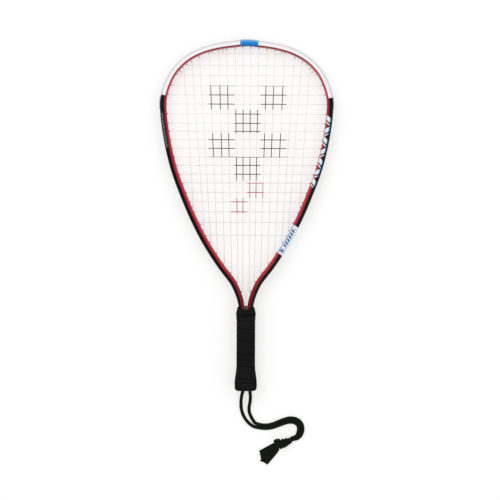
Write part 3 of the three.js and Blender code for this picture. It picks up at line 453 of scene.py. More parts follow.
class Nodes:
    """A node tree, cleared and built with short calls."""

    def __init__(self, tree):
        self.tree = tree
        tree.nodes.clear()

    def put(self, socket, value):
        """Joins a value to an input, or writes a plain number or colour there."""
        if isinstance(value, Value):
            self.tree.links.new(value.socket, socket)
        elif socket.type == "RGBA":
            socket.default_value = (*value, 1)
        else:
            socket.default_value = value

    def node(self, kind, inputs=None, **settings):
        node = self.tree.nodes.new(kind)
        for key, setting in settings.items():
            setattr(node, key, setting)
        for key, value in (inputs or {}).items():
            self.put(node.inputs[key], value)
        return node

    def value(self, kind, inputs=None, output=0, **settings):
        return Value(self, self.node(kind, inputs, **settings).outputs[output])

    def math(self, name, *values):
        return self.value("ShaderNodeMath", dict(enumerate(values)), operation=name)

    def ray(self, kind):
        return self.value("ShaderNodeLightPath", output="Is %s Ray" % kind)

    def blend(self, amount, a, b):
        return self.value("ShaderNodeMix", {0: amount, 6: a, 7: b}, 2, data_type="RGBA")


class Shader(Nodes):
    """A principled material."""

    def __init__(self, name, roughness, specular=0.5, metallic=0.0):
        self.mat = bpy.data.materials.new(name)
        self.mat.use_nodes = True
        super().__init__(self.mat.node_tree)
        self.bsdf = self.node("ShaderNodeBsdfPrincipled", {
            "Roughness": roughness, "Specular IOR Level": specular, "Metallic": metallic})
        self.node("ShaderNodeOutputMaterial", {0: Value(self, self.bsdf.outputs[0])})

    def attribute(self, name):
        return self.value("ShaderNodeAttribute", output="Fac", attribute_name=name)

    def position(self):
        return self.value("ShaderNodeTexCoord", output="Object")

    def noise(self, scale, detail=3.0, rough=0.55, vector=None):
        return self.value("ShaderNodeTexNoise", {
            "Vector": vector or self.position(), "Scale": scale, "Detail": detail,
            "Roughness": rough})

    def cells(self, scale):
        return self.value("ShaderNodeTexVoronoi", {"Vector": self.position(), "Scale": scale},
                          "Distance")

    def finish(self, inputs, height=None, distance=0.0, strength=0.0):
        """Sets the inputs, and a bump where a height is given, and gives the material."""
        if height is not None:
            inputs["Normal"] = self.value("ShaderNodeBump", {
                "Height": height, "Distance": distance, "Strength": strength})
        for key, value in inputs.items():
            self.put(self.bsdf.inputs[key], value)
        return self.mat


def srgb(r, g, b):
    """A colour given as 0..255 screen values, made linear."""
    return tuple(v / 12.92 if v <= 0.04045 else ((v + 0.055) / 1.055) ** 2.4
                 for v in (r / 255, g / 255, b / 255))


# ---- floor and sky

# Light that each gives by itself where it is seen directly and where it is seen in a mirror
FLOOR_LIGHT, FLOOR_MIRRORED = (0.642, 0.620, 0.602), 0.35
SKY_LEVEL, SKY_MIRRORED = 0.66, 0.3
FLOOR_HALF, FLOOR_DROP = 4.0, 0.0002


def floor_material():
    s = Shader("floor_pale", 0.95, 0.0)
    seen = s.ray("Camera") | s.ray("Transmission") | s.ray("Glossy") * FLOOR_MIRRORED
    base = s.blend(s.noise(3.0, 2.0), (0.405, 0.425, 0.445), (0.415, 0.435, 0.455))
    return s.finish({"Base Color": base, "Emission Color": FLOOR_LIGHT,
                     "Emission Strength": seen})


def light_world():
    world = bpy.data.worlds.new("studio")
    world.use_nodes = True
    n = Nodes(world.node_tree)
    dimmed = n.ray("Glossy").span(0.0, 1.0, SKY_LEVEL, SKY_MIRRORED)
    strength = (n.ray("Camera") | n.ray("Transmission")).span(0.0, 1.0, dimmed, 1.0)
    back = n.value("ShaderNodeBackground", {"Color": (1, 1, 1), "Strength": strength})
    n.node("ShaderNodeOutputWorld", {0: back})
    scene.world = world


light_world()
floor_mesh = bpy.data.meshes.new("floor")
floor_mesh.from_pydata([(x * FLOOR_HALF, y * FLOOR_HALF, -FLOOR_DROP)
                        for x, y in ((-1, -1), (1, -1), (1, 1), (-1, 1))], [], [(0, 1, 2, 3)])
floor_mesh.materials.append(floor_material())
floor = bpy.data.objects.new("floor", floor_mesh)
scene.collection.objects.link(floor)

# ---- materials

BLACK, WHITE = srgb(9, 9, 12), srgb(254, 250, 251)
# The last red on the next line is painted light: the inner wall's red brightened as if lit from
# the floor
RED, MAROON, FLOOR_BOUNCE_RED = srgb(206, 64, 78), srgb(112, 14, 30), srgb(240, 92, 106)
BLUE, PALE_BLUE = srgb(24, 140, 222), srgb(160, 216, 252)

# Prints by the height on the racket where each starts and ends, and the block by its travel
WHITE_LEFT, WHITE_RIGHT = travel_at(470.5), travel_at(466.6)
DASHES, TICKS, LABEL = (438.0, 322.0), (386.0, 442.0), (259.6, 214.6)
BARS, DISC = (256.0, 227.0), 220.5
BLOCK = (-10.8, 18.8)
DASH_PITCH, TICK_PITCH, BAR_PITCH = 17.4, 3.6, 5.4


def frame_paint():
    s = Shader("frame_gloss_paint", 0.24, 0.14)
    across, travel = s.attribute("across"), s.attribute("travel")
    distance = abs(travel)
    held = across + (s.noise(60.0, 2.0) - 0.5) * 0.25
    # Black outside and red inside, with the line between them nearer the middle down the sides
    line = distance.span(200, 290, 6.2, 5.2) + distance.span(450, 540, 0, -0.9)
    inner = (held - line).span(-0.7, 0.9)
    red = s.blend(across.span(6.0, 9.0), srgb(176, 38, 52), RED)
    # Darker red down the legs into the collar: painted shade where the legs meet the collar
    red = s.blend(distance.span(470, 555), red, srgb(88, 10, 18))
    red = s.blend(distance.span(230, 330, 0.5, 0.0), red, srgb(96, 22, 38))
    # The wall that faces the strings gets painted light: a brighter red standing in for light
    # bounced up from the floor
    floor_lit_wall = across.edge(9.35, 0.25)
    red = s.blend(floor_lit_wall * distance.span(470, 530, 1.0, 0.0), red, FLOOR_BOUNCE_RED)
    colour = s.blend(inner.span(0.0, 0.35), BLACK, srgb(52, 4, 14))
    colour = s.blend(inner.span(0.3, 1.0), colour, red)
    # Slanted dashes on the right side, white at the inner edge and blue at the outer
    flip = 1.0 - ((travel / DASH_PITCH).floor() % 2.0) * 2.0
    beat = (((across - 5.8) * 0.8 * flip + travel) / DASH_PITCH).fract()
    dash = beat.between(0.12, 0.56, 0.012) | beat.between(0.72, 0.84, 0.012)
    dash = dash * across.between(2.9, 9.3) * travel.between(*map(travel_at, DASHES), 0.3)
    tint = s.blend(across.edge(4.3, 0.8), srgb(92, 172, 228), srgb(242, 247, 250))
    colour = s.blend(dash, colour, tint)
    # Short grey dashes on the left side's black band
    tick = (distance / TICK_PITCH).fract().between(0.15, 0.7, 0.05) * across.between(2.2, 4.0)
    tick = tick * travel.between(*(-travel_at(y) for y in TICKS), 0.3)
    colour = s.blend(tick, colour, srgb(150, 152, 156))
    # White crown with a thin dark red line along its inner edge, and the painted floor-bounce glow
    # on its inner wall
    rim = (across + distance.span(40, 200, -0.15, 0.85)).edge(7.4)
    line_red = s.blend(floor_lit_wall * 0.8, s.blend(distance.span(0, 160), MAROON, RED), FLOOR_BOUNCE_RED)
    colour = s.blend(travel.between(-WHITE_LEFT, WHITE_RIGHT, 0.2), colour,
                     s.blend(rim, WHITE, line_red))
    # Blue block at the crown's middle
    blues = s.blend(across.edge(1.9, 0.5), PALE_BLUE, BLUE)
    blues = s.blend(across.edge(8.0, 0.6), blues, srgb(15, 104, 190))
    colour = s.blend(travel.between(*BLOCK, 0.2), colour, blues)
    # Pale label on the right flank with blue bars, a ringed disc and an edge line
    label = (travel + across * 0.12).between(*map(travel_at, LABEL), 0.2)
    bars = ((travel + across * 0.6) / BAR_PITCH).fract().between(0.12, 0.74, 0.04)
    bars = bars * across.between(2.6, 7.2) * travel.between(*map(travel_at, BARS), 0.2)
    x, y = travel - travel_at(DISC), across - 5.0
    far = (x * x + y * y).root()
    disc = (1.0 - far.edge(2.1, 0.1)) | far.between(2.9, 3.5, 0.1)
    plate = s.blend(disc | bars | across.between(8.2, 8.7), srgb(236, 243, 250), srgb(30, 84, 146))
    rough = s.noise(220.0, 4.0).span(0.3, 0.7, 0.2, 0.3)
    return s.finish({"Base Color": s.blend(label, colour, plate),
                     "Roughness": rough + label * 0.25, "Coat Weight": 0.06,
                     "Coat Roughness": 0.08}, s.noise(900.0, 2.0) + label * 6.0, 0.00002, 0.5)


def clear_plastic(name, colour, alpha, printed=False):
    s = Shader(name, 0.4, 0.3)
    shown = s.blend(s.noise(90.0), tuple(v * 0.9 for v in colour), colour)
    scuff = s.noise(700.0, 4.0)
    if printed:
        # Pale blue over the crown's block, milky grey where the ends lie over the black paint
        travel = s.attribute("travel")
        mark = travel.between(*BLOCK, 0.2)
        milky = abs(travel).between(WHITE_RIGHT - 2, GUARD_END + 2, 1.0)
        shown = s.blend(milky, s.blend(mark, shown, PALE_BLUE), srgb(196, 200, 205))
        alpha = mark.span(0.0, 1.0, alpha, 0.6) | milky * 0.5
    return s.finish({"Base Color": shown, "Alpha": alpha,
                     "Roughness": scuff.span(0.3, 0.75, 0.32, 0.56)}, scuff, 0.00004, 0.5)


def string_material():
    s = Shader("string_nylon", 0.3, 0.4)
    split = s.node("ShaderNodeSeparateXYZ", {0: s.position()}).outputs
    x, y = Value(s, split[0]), Value(s, split[1]) - SHIFT_Y * MM

    def chequer(left, foot, width, height, columns, rows, phase):
        u, v = (x - left) / width, (y - foot) / height
        inside = u.between(0.0, columns, 0.01) * v.between(0.0, rows, 0.01)
        return inside * ((u.floor() + v.floor() + phase) % 2.0)

    black = chequer(-0.0605, 0.334, 0.0413, 0.0378, 3, 4, 0.0)
    red = chequer(-0.0243, 0.282, 0.0255, 0.0245, 2, 2, 1.0)
    worn = s.noise(1500.0).span(0.25, 0.45, 0.8, 1.0)
    colour = s.blend(s.noise(40.0, 2.0), srgb(246, 242, 237), srgb(252, 249, 245))
    colour = s.blend(black * worn, colour, srgb(26, 26, 28))
    colour = s.blend(red * worn, colour, srgb(196, 38, 44))
    # Bare nylon is drawn partly see-through, more opaque towards the throat and clearer towards
    # the crown
    clear = y.span(0.26, 0.44, 0.5, 0.3)
    return s.finish({"Base Color": colour, "Alpha": (black | red) * worn | clear,
                     "Roughness": s.noise(900.0).span(0.3, 0.7, 0.24, 0.42)},
                    s.noise(2400.0, 2.0), 0.00003, 0.4)


def rubber(name, dark, light, roughness, grain=1400.0, depth=0.00008):
    s = Shader(name, roughness, 0.1)
    fine = s.noise(grain, 4.0)
    return s.finish({"Base Color": s.blend(s.noise(55.0).span(0.35, 0.7), dark, light),
                     "Roughness": fine.span(0.3, 0.7, roughness - 0.08, roughness + 0.1)},
                    fine, depth, 0.7)


def grip_material():
    s = Shader("grip_leather", 0.62, 0.1)
    across, travel = s.attribute("strip_across"), s.attribute("strip_travel")
    fine = s.noise(3200.0)
    base = s.blend(s.noise(38.0).span(0.3, 0.7), srgb(15, 15, 16), srgb(25, 25, 26))
    seam = (1.0 - across.edge(0.05, 0.04)) | across.edge(0.95, 0.04)
    base = s.blend(seam, base, srgb(13, 13, 14))
    # Rows of small pressed dots along the strip
    row = across * 7.0
    x, y = (travel / 2.6 + row.floor() * 0.5).fract() - 0.5, row.fract() - 0.5
    dot = (1.0 - (x * x + y * y).root().span(0.12, 0.2)) * across.between(0.14, 0.86, 0.01)
    return s.finish({"Base Color": s.blend(dot, base, srgb(6, 6, 7)),
                     "Roughness": fine.span(0.3, 0.7, 0.5, 0.7)},
                    s.cells(1300.0) * 0.8 + fine - dot * 2.2, 0.0001, 0.75)


def steel():
    s = Shader("drawn_steel", 0.32, metallic=1.0)
    stretched = s.value("ShaderNodeMapping", {"Vector": s.position(), "Scale": (40, 40, 1)})
    drawn = s.noise(60.0, 5.0, 0.7, stretched)
    return s.finish({"Base Color": s.blend(drawn, (0.5, 0.51, 0.53), (0.66, 0.67, 0.69)),
                     "Roughness": drawn.span(0.3, 0.7, 0.25, 0.45)}, drawn, 0.00003, 0.4)


def braided_cord(dark, light):
    s = Shader("lanyard_braid", 0.85, 0.15)
    yarn = s.noise(2600.0)
    # Colour by the relief: crests painted lighter as a painted highlight, hollows darker as
    # painted shade
    base = s.blend(s.attribute("relief").span(0.1, 0.9), dark, light)
    shaded = s.blend(yarn.span(0.35, 0.65, 0.0, 0.45), base, tuple(v * 0.45 for v in dark))
    return s.finish({"Base Color": shaded, "Roughness": yarn.span(0.3, 0.7, 0.75, 0.95),
                     "Sheen Weight": 0.03, "Sheen Roughness": 0.5}, yarn, 0.00012, 0.8)


def foam(dark, light):
    s = Shader("spacer_foam", 0.9, 0.15)
    holes = s.cells(700.0)
    return s.finish({"Base Color": s.blend(holes.span(0.1, 0.6), dark, light),
                     "Roughness": s.noise(900.0).span(0.3, 0.7, 0.8, 0.98)}, holes, 0.0002, 0.8)


PAINT = frame_paint()
GUARD = clear_plastic("guard_clear_plastic", srgb(252, 250, 251), 0.27, True)
GROMMET = clear_plastic("grommet_clear_plastic", srgb(226, 212, 212), 0.7)
STRING = string_material()
PLUG = rubber("plug_rubber", srgb(50, 50, 52), srgb(66, 66, 68), 0.75)
COLLAR = rubber("collar_rubber", srgb(14, 14, 15), srgb(24, 24, 25), 0.5)
TAPE = rubber("tape_vinyl", srgb(17, 17, 18), srgb(27, 27, 28), 0.42, 500.0, 0.00006)
CAP = rubber("butt_rubber", srgb(15, 15, 16), srgb(26, 26, 27), 0.5)
GRIP = grip_material()
STEEL = steel()
SHELL = rubber("shell_plastic", srgb(48, 49, 52), srgb(62, 63, 66), 0.6, 800.0, 0.0001)
SPACER = foam(srgb(84, 84, 88), srgb(112, 112, 116))
CORD = braided_cord(srgb(2, 5, 3), srgb(30, 39, 33))

# ---- lanyard cords

BRAID_CELLS, BRAID_PITCH, BRAID_DEPTH, BRAID_SUNK = 12, 1.35, 0.17, 0.6
BRAID_STEP, BRAID_SIDES, CORD_SHARP = 0.34, 48, 60
PIN_Y, MOUTH_Z = PIN_HEIGHT * math.cos(TILT), PIN_HEIGHT * math.sin(TILT) + SHIFT_Z
CORD_RADIUS, RIDE_UP, STRAND_SQUASH = CORD_DIAMETER / 2, 1.8, 0.88
# How far apart the strands lie, by the number of the route's point, and what their half
# width gains by the share of the way, as they press against each other
LIE_APART = ([9, 12, 16, 18, 19, 21], [4.9, 5.1, 5.8, 6.0, 5.7, 3.0])
PRESSED = ([0, 0.3, 0.45, 0.6, 0.8, 0.9, 1], [-0.02, -0.02, 0.14, 0.3, 0.5, 0.3, -0.35])
PAIRED = 10
# Turns of the knot: place along it, its reach to either side, and how far it leans
KNOT_TURNS = [(9.9, -7.0, 4.0, 0.9), (6.0, -7.9, 5.3, 1.3), (1.6, -8.4, 6.4, 0.6),
              (-2.6, -8.6, 9.0, -1.2), (-6.4, -8.6, 10.0, -0.6), (-10.2, -7.4, 9.6, 0.5)]
WOUND_RADIUS, WOUND_SIDES, WOUND_STEP = 2.5, 32, 0.45
TAIL_SIDES, TAIL_STEPS, TAIL_RIBS, FRAY_THREADS = 40, 110, 13, 90


def weave(angle, travel):
    """Relief of a braided sheath: staggered yarn picks round the cord."""
    turn = BRAID_CELLS * angle / (2 * math.pi)
    a, b = turn + travel / BRAID_PITCH, turn - travel / BRAID_PITCH
    bump = np.sqrt(np.abs(np.sin(math.pi * a) * np.sin(math.pi * b)))
    over = np.where((np.floor(a) + np.floor(b)) % 2 == 0, 1.0, 0.72)
    return BRAID_DEPTH * (bump * over - BRAID_SUNK)


def cord_mesh(name, parts, heights, node):
    """A piece of the lanyard whose relief is kept to paint shade in its hollows and highlight on
    its crests.
    """
    return piece(name, *parts.all(), LANYARD, CORD, "lanyard_cord", [node], on_table, CORD_SHARP,
                 {"relief": np.concatenate(heights)})


def cord_piece(name, paths, radius, node, sides=BRAID_SIDES, step=BRAID_STEP, squash=1.0):
    """Braided cords along paths, gathered in one piece."""
    parts, heights = Parts(), []
    for path in paths:
        fine = resample(path, step)
        parts.add(*tube(fine, radius, sides, squash, weave))
        travel = np.arange(len(fine)) * np.linalg.norm(fine[1] - fine[0])
        # Relief of each point, which the cord's colour uses for painted highlight and shade
        height = weave(circle(sides)[None, :], travel[:, None]) / BRAID_DEPTH + BRAID_SUNK
        heights.append(height.ravel())
    return cord_mesh(name, parts, heights, node)


def strand(route, other, lifted=0.0):
    """A strand's middle line, drawn towards the other one where the two lie side by side.

    Its last part may ride up, over the other strand.
    """
    floor_z, last = CORD_RADIUS + CORD_REST, len(route) - 1
    points = []
    for i, (point, beside) in enumerate(zip(np.array(route, float), np.array(other, float))):
        gap = np.linalg.norm(beside - point)
        closer = max(gap - np.interp(i, *LIE_APART), 0)
        share = smoothstep(i, PAIRED - 3, PAIRED)
        z = mix(MOUTH_Z, floor_z, FALL[min(i, len(FALL) - 1)])
        points.append((*(point + (beside - point) / gap * closer / 2 * share),
                       z + lifted * smoothstep(i, last - 3, last)))
    return smooth_curve(points, 16)


left_path = strand(LEFT_ROUTE, RIGHT_ROUTE, RIDE_UP)
right_path = strand(RIGHT_ROUTE, LEFT_ROUTE)

# The turn round the pin inside the pocket
reach = PIN_DIAMETER / 2 + BIGHT_CLEAR + CORD_RADIUS
turn = [(PIN_OFFSET + reach * math.cos(a), PIN_Y + reach * math.sin(a), MOUTH_Z)
        for a in np.linspace(math.pi, 0, 9)]
bight_path = smooth_curve([left_path[0] + (0, FIT, 0), *turn, right_path[0] + (0, FIT, 0)], 10)

# The knot: two cords side by side, wound round the two that go through it
knot_along = np.array([math.cos(KNOT_TURN), math.sin(KNOT_TURN), 0])
knot_across = np.array([-knot_along[1], knot_along[0], 0])
knot_middle = np.array([*KNOT_CENTRE, KNOT_HEIGHT + CORD_REST])


def knot_point(along, across, up):
    return knot_middle + along * knot_along + across * knot_across + up * UP


def knot_wrap(middle, low, high, lean):
    """One leaning turn of cord round the knot's core, its ends tucked in underneath."""
    wide, side = (high - low) / 2 - WOUND_RADIUS, (high + low) / 2
    path = []
    for t in np.linspace(0, 1, 64):
        angle = mix(-0.75, 1.75, t) * math.pi
        tuck = 1 - 0.5 * (1 - smoothstep(t, 0, 0.16)) - 0.5 * smoothstep(t, 0.84, 1)
        along = middle + lean * math.cos(angle) + mix(-1.1, 1.1, t)
        path.append(knot_point(along, side + wide * tuck * math.cos(angle),
                               (KNOT_HEIGHT - WOUND_RADIUS) * tuck * math.sin(angle)))
    return path


def knot_core(side, lift, tail_side):
    return smooth_curve([knot_point(14.1, side * 1.9 - 1.4, -2.0 + side),
                         knot_point(9, side * 2.1 - 1.4, -1.2),
                         knot_point(1, side * 2.6 + 0.4, lift),
                         knot_point(-8, side * 2.6 - 0.4, -1.2),
                         knot_point(-14.2, tail_side, -3.3)], 12)


knot = cord_piece("lanyard_knot_turns",
                  [knot_wrap(*turn) for turn in KNOT_TURNS]
                  + [knot_core(1, 0.8, 1.2), knot_core(-1, -0.8, -6.2)],
                  WOUND_RADIUS, "lanyard_knot", WOUND_SIDES, WOUND_STEP)


def tail(name, side, turn_by, slant, spread_by, seed):
    """Flattened frayed cord end: pressed crosswise ribs, and loose threads past them.

    slant is how far the end reaches further on at its two corners, spread_by how far one of
    them is spread sideways.
    """
    heading = math.pi + KNOT_TURN + turn_by
    along = np.array([math.cos(heading), math.sin(heading), 0])
    across = np.array([-along[1], along[0], 0])
    start = (np.array([*KNOT_CENTRE, TAIL_HALF + 2 * CORD_REST])
             - (KNOT_LENGTH + 0.6 + TAIL_NECK * math.sin(turn_by)) * knot_along
             + side * knot_across)
    rings, relief = [], []
    for i in range(TAIL_STEPS + 1):
        share = mix(-0.3, 1, i / TAIL_STEPS)
        wide = mix(TAIL_NECK, TAIL_END, max(share, 0) ** 0.85) * (1 - 1.2 * max(-share, 0))
        centre = start + along * share * TAIL_LENGTH
        rib = 0.5 + 0.5 * math.cos(2 * math.pi * share * TAIL_RIBS)
        ring = []
        for a in circle(TAIL_SIDES):
            strandwise = 0.5 + 0.5 * math.cos(9 * math.pi * math.cos(a) + 1.2 * rib)
            bump = 0.34 * rib + 0.1 * strandwise
            far = max(share, 0) ** 2
            further = mix(*slant, (1 + math.cos(a)) / 2) * far
            aside = spread_by * far * max(math.cos(a), 0)
            ring.append(centre + along * further + UP * 0.4 * aside
                        + across * (math.cos(a) * (wide + 0.3 + 0.2 * rib) + aside)
                        + UP * math.sin(a) * (TAIL_HALF - 0.3 + bump))
            # Rib crests are painted lighter and the hollows between them darker: painted highlight
            # and shade by the relief
            relief.append(0.8 * rib + 0.2 * strandwise)
        rings.append(ring)
    parts = Parts()
    parts.add(*skin(rings))
    heights = [np.array(relief)]
    draw = np.random.default_rng(seed)
    for _ in range(FRAY_THREADS):
        spread = draw.uniform(-1, 1)
        base = (start + along * (TAIL_LENGTH - 1.2 + mix(*slant, (1 + spread) / 2))
                + across * (spread * TAIL_END * 0.95 + spread_by * max(spread, 0))
                + UP * draw.uniform(-0.8, 0.8) * TAIL_HALF * math.sqrt(1 - spread ** 2))
        lean = spread * 0.3 + draw.normal(0, 0.14)
        # The fray is longest at the corners and shortest between them
        reach_by = draw.uniform(1.4, 2.3) + 1.2 * abs(spread) ** 2.5
        way = along * math.cos(lean) + across * math.sin(lean)
        drop = min(base[2] - 0.45, 1.2)
        path = [base + way * reach_by * t + UP * (-drop * t * t) for t in
                np.linspace(0, 1, 6)]
        points, faces = tube(path, np.linspace(0.36, 0.2, 6), 5)
        parts.add(points, faces)
        heights.append(np.full(len(points), 0.45))
    return cord_mesh(name, parts, heights, name.replace("_frayed", ""))


tails = [tail("lanyard_tail_upper_frayed", *TAILS["upper"], (-0.6, 6.2), 2.6, seed=11),
         tail("lanyard_tail_lower_frayed", *TAILS["lower"], (4.4, 0.4), 0.0, seed=23)]
cord_piece("lanyard_bight_braid", [bight_path], CORD_RADIUS - 0.1, "lanyard_bight")

for label, path, on_it in (("left", left_path, [knot, *tails]), ("right", right_path, [])):
    # Side by side the strands press flat against each other
    shares = np.linspace(0, 1, len(resample(path, BRAID_STEP)))
    cord = cord_piece("lanyard_strand_%s_braid" % label, [path],
                      CORD_RADIUS + np.interp(shares, *PRESSED), "lanyard_strand_%s" % label,
                      squash=STRAND_SQUASH)
    line = on_table(resample(path, 2.0))

# ---- frame tube

# The painted tube is drawn a little slimmer round the crown and fuller down the flanks
CROWN_SLIM, CROWN_EASE, FLANK_GAIN, LEG_START = 1.45, (125, 215), 0.7, (480, 540)
BARREL_SIDES = 14


def rounded(corners, radii, steps):
    """A closed outline with each corner rounded by a short curve."""
    corners = np.array(corners, float)
    out = []
    for corner, before, after, radius in zip(corners, np.roll(corners, 1, 0),
                                             np.roll(corners, -1, 0), radii):
        a, b = (corner + way / np.linalg.norm(way) * min(radius, 0.49 * np.linalg.norm(way))
                for way in (before - corner, after - corner))
        out += [(1 - t) ** 2 * a + 2 * t * (1 - t) * corner + t ** 2 * b
                for t in np.linspace(0, 1, steps + 1)]
    return np.array(out)


def both_sides(side):
    return side + [(u, -w) for u, w in reversed(side)]


tube_side = [(FLOOR_U, CHANNEL_HALF), (HALF_W, CHANNEL_HALF + CHANNEL_FLARE),
             (0.92 * HALF_W, 0.76 * HALF_D), (0.46 * HALF_W, HALF_D), (-0.46 * HALF_W, HALF_D),
             (-HALF_W, 0.62 * HALF_D)]
tube_radii = [0.5, 0.7, 2.2, 1.8, 2.2, 3.4]
tube_outline = rounded(both_sides(tube_side), tube_radii + tube_radii[::-1], 7)


def travels_between(start, end, step):
    return np.linspace(start, end, int(math.ceil((end - start) / step)) + 1)


frame_travels = travels_between(-LINE_END, LINE_END, 1.6)
u, w = tube_outline[:, 0], tube_outline[:, 1]
away = np.abs(frame_travels)
slim = (mix(CROWN_SLIM, -FLANK_GAIN, smoothstep(away, *CROWN_EASE))
        * (1 - smoothstep(away, *LEG_START)) / TUBE_WIDTH)
slimmed = HALF_W - (HALF_W - u[None, :]) * (1 - slim[:, None])
rings = section_points(frame_travels, slimmed, w[None, :])
points, faces = skin(rings)
piece("frame_tube_painted", points, faces, RACKET, PAINT, "frame_composite", ["frame_tube"],
      sharp=50, attributes={
          "travel": np.repeat(frame_travels, len(u)),
          "across": np.tile(HALF_W - u, len(frame_travels))})

# ---- guard, strips and barrels


def barrel(hole):
    """A thin-walled round barrel with an eased mouth, from the strip to its nub."""
    inner, outer = hole.at(NUB_U), hole.at(STRIP_U + STRIP_THICKNESS / 2)
    way, length = unit(outer - inner), np.linalg.norm(outer - inner)
    side = np.cross(way, UP)
    profile = [(BORE_RADIUS, length), (BARREL_RADIUS, length), (BARREL_RADIUS, 2.2 * NUB),
               (BARREL_RADIUS, NUB * 1.05), (BARREL_RADIUS - 0.1, 0.5),
               (BARREL_RADIUS - 0.28, 0.08), (BORE_RADIUS + 0.12, 0.0), (BORE_RADIUS, 0.3)]
    rings = [[inner + way * d + side * r * math.cos(a) + UP * r * math.sin(a)
              for a in circle(BARREL_SIDES)] for r, d in profile]
    return skin(rings, closed=True)


def with_barrels(rings, holes):
    """A moulded strip along rings, with a barrel at each hole."""
    parts = Parts()
    for shape in [skin(rings), *map(barrel, holes)]:
        parts.add(*shape)
    return parts


def guard_outline():
    outer, face = HALF_W + GUARD_STAND, HALF_W + FIT
    side = [(STRIP_U, CHANNEL_HALF - FIT), (face, CHANNEL_HALF + CHANNEL_FLARE - FIT),
            (0.92 * HALF_W + FIT, 0.76 * HALF_D),
            (face + GUARD_WALL / 2, GUARD_HALF_DEPTH + GUARD_WALL / 2),
            (outer, GUARD_HALF_DEPTH - GUARD_STAND), (outer, GUARD_GROOVE),
            (STRIP_U + GUARD_WALL, GUARD_GROOVE)]
    radii = [0.2, 0.5, 0.15, 0.3, 1.6, 0.6, 0.4]
    return rounded(both_sides(side), radii + radii[::-1], 5)


outline = guard_outline()
guard_travels = travels_between(-GUARD_END, GUARD_END, 1.8)
share = smoothstep(GUARD_END - np.abs(guard_travels), 0, GUARD_TAPER)
limit = HALF_W + FIT + mix(GUARD_END_STAND, GUARD_STAND - FIT, share)
u = np.minimum(outline[None, :, 0], limit[:, None])
rings = section_points(guard_travels, u, outline[None, :, 1])
guard = with_barrels(rings, [hole for hole in all_holes if abs(hole.exit) < GUARD_END])
on_guard = np.full(guard.count, LINE_END)
on_guard[:rings.shape[0] * rings.shape[1]] = np.repeat(guard_travels, rings.shape[1])
piece("bumper_guard_clear", *guard.all(), RACKET, GUARD, "guard_plastic", ["bumper_guard"],
      attributes={"travel": on_guard})

for side_name, sign in (("left", -1), ("right", 1)):
    edge, top = CHANNEL_HALF - FIT, STRIP_U + STRIP_THICKNESS
    corners = [(STRIP_U, edge), (STRIP_U, -edge), (top, -edge), (top, edge)]
    section = rounded(corners, [0.15] * 4, 3)
    travels = sign * travels_between(STRIP_START, STRIP_END, 2.0)
    strip = with_barrels(section_points(travels, *section.T),
                         [hole for hole in all_holes if sign * hole.exit > STRIP_START])
    name = "grommet_strip_" + side_name
    piece(name + "_moulded", *strip.all(), RACKET, GROMMET, "grommet_plastic", [name])

# ---- strings

CROSS_RISE, MAIN_DIP = 0.8, 0.52
MAIN_STEP, CROSS_STEP, STRING_SIDES = 1.5, 1.2, 9


def weave_line(start, end, knots, step):
    """A string from start to end that passes through knots, (share of the way, height)."""
    shares = [0.0] + [k[0] for k in knots] + [1.0]
    heights = [0.0] + [k[1] for k in knots] + [0.0]
    count = max(4, int(np.linalg.norm(end - start) / step))
    t = np.linspace(0, 1, count + 1)
    index = np.clip(np.searchsorted(shares, t, side="right") - 1, 0, len(shares) - 2)
    s0, s1 = np.take(shares, index), np.take(shares, index + 1)
    local = np.clip((t - s0) / np.maximum(s1 - s0, 1e-9), 0, 1)
    swing = 0.5 - 0.5 * np.cos(math.pi * local)
    z = mix(np.take(heights, index), np.take(heights, index + 1), swing)
    path = start[None, :] + (end - start)[None, :] * t[:, None]
    path[:, 2] += z
    return path


def channel_run(a, b, lane):
    way = math.copysign(1, b.exit - a.exit)
    start, end = a.exit + way * LANE_LEAD, b.exit - way * LANE_LEAD
    travels = np.linspace(start, end, max(4, int(abs(end - start) / 3.0) + 2))
    blend_by = np.minimum(np.abs(travels - start), np.abs(travels - end)) / 3.3
    lanes = lane * mix(0.5, 1, np.clip(blend_by, 0, 1))
    run = section_points(travels, LANE_U, lanes[:, None])[:, 0]
    return np.vstack([a.at(TURN_U), run, b.at(TURN_U)])


main_lines = [(a.mirrored(), b.mirrored()) for a, b in reversed(mains)] + mains


def meeting(index, row):
    """Where a main and a cross meet, or None where they miss each other."""
    top, low, level = *(hole.bend for hole in main_lines[index]), crosses[row].bend
    if not low[1] <= level[1] <= top[1]:
        return None
    x = mix(low[0], top[0], (level[1] - low[1]) / (top[1] - low[1]))
    return (x, level[1]) if abs(x) <= level[0] - BEND_ROOM else None


def string_run(start, end, axis, pairs, height, step):
    """A string from hole to hole that goes over and under those it meets."""
    start, end = start.bend, end.bend
    knots = []
    for index, row in pairs:
        met = meeting(index, row)
        if met:
            share = (met[axis] - start[axis]) / (end[axis] - start[axis])
            knots.append((share, height if (index + row) % 2 == 0 else -height))
    return weave_line(start, end, sorted(knots), step)


tie = main_tie.mirrored()
main_path = [tie.at(NUB_U)[None, :], channel_run(tie, main_lines[0][0], LANE)]
for index, ends in enumerate(main_lines):
    down = index % 2 == 0
    start, end = ends if down else ends[::-1]
    main_path.append(string_run(start, end, 1, [(index, row) for row in range(len(crosses))],
                                -MAIN_DIP, MAIN_STEP))
    if index + 1 < len(main_lines):
        main_path.append(channel_run(end, main_lines[index + 1][1 if down else 0], LANE))
main_path += [channel_run(main_lines[-1][0], main_tie, LANE), main_tie.at(NUB_U)[None, :]]

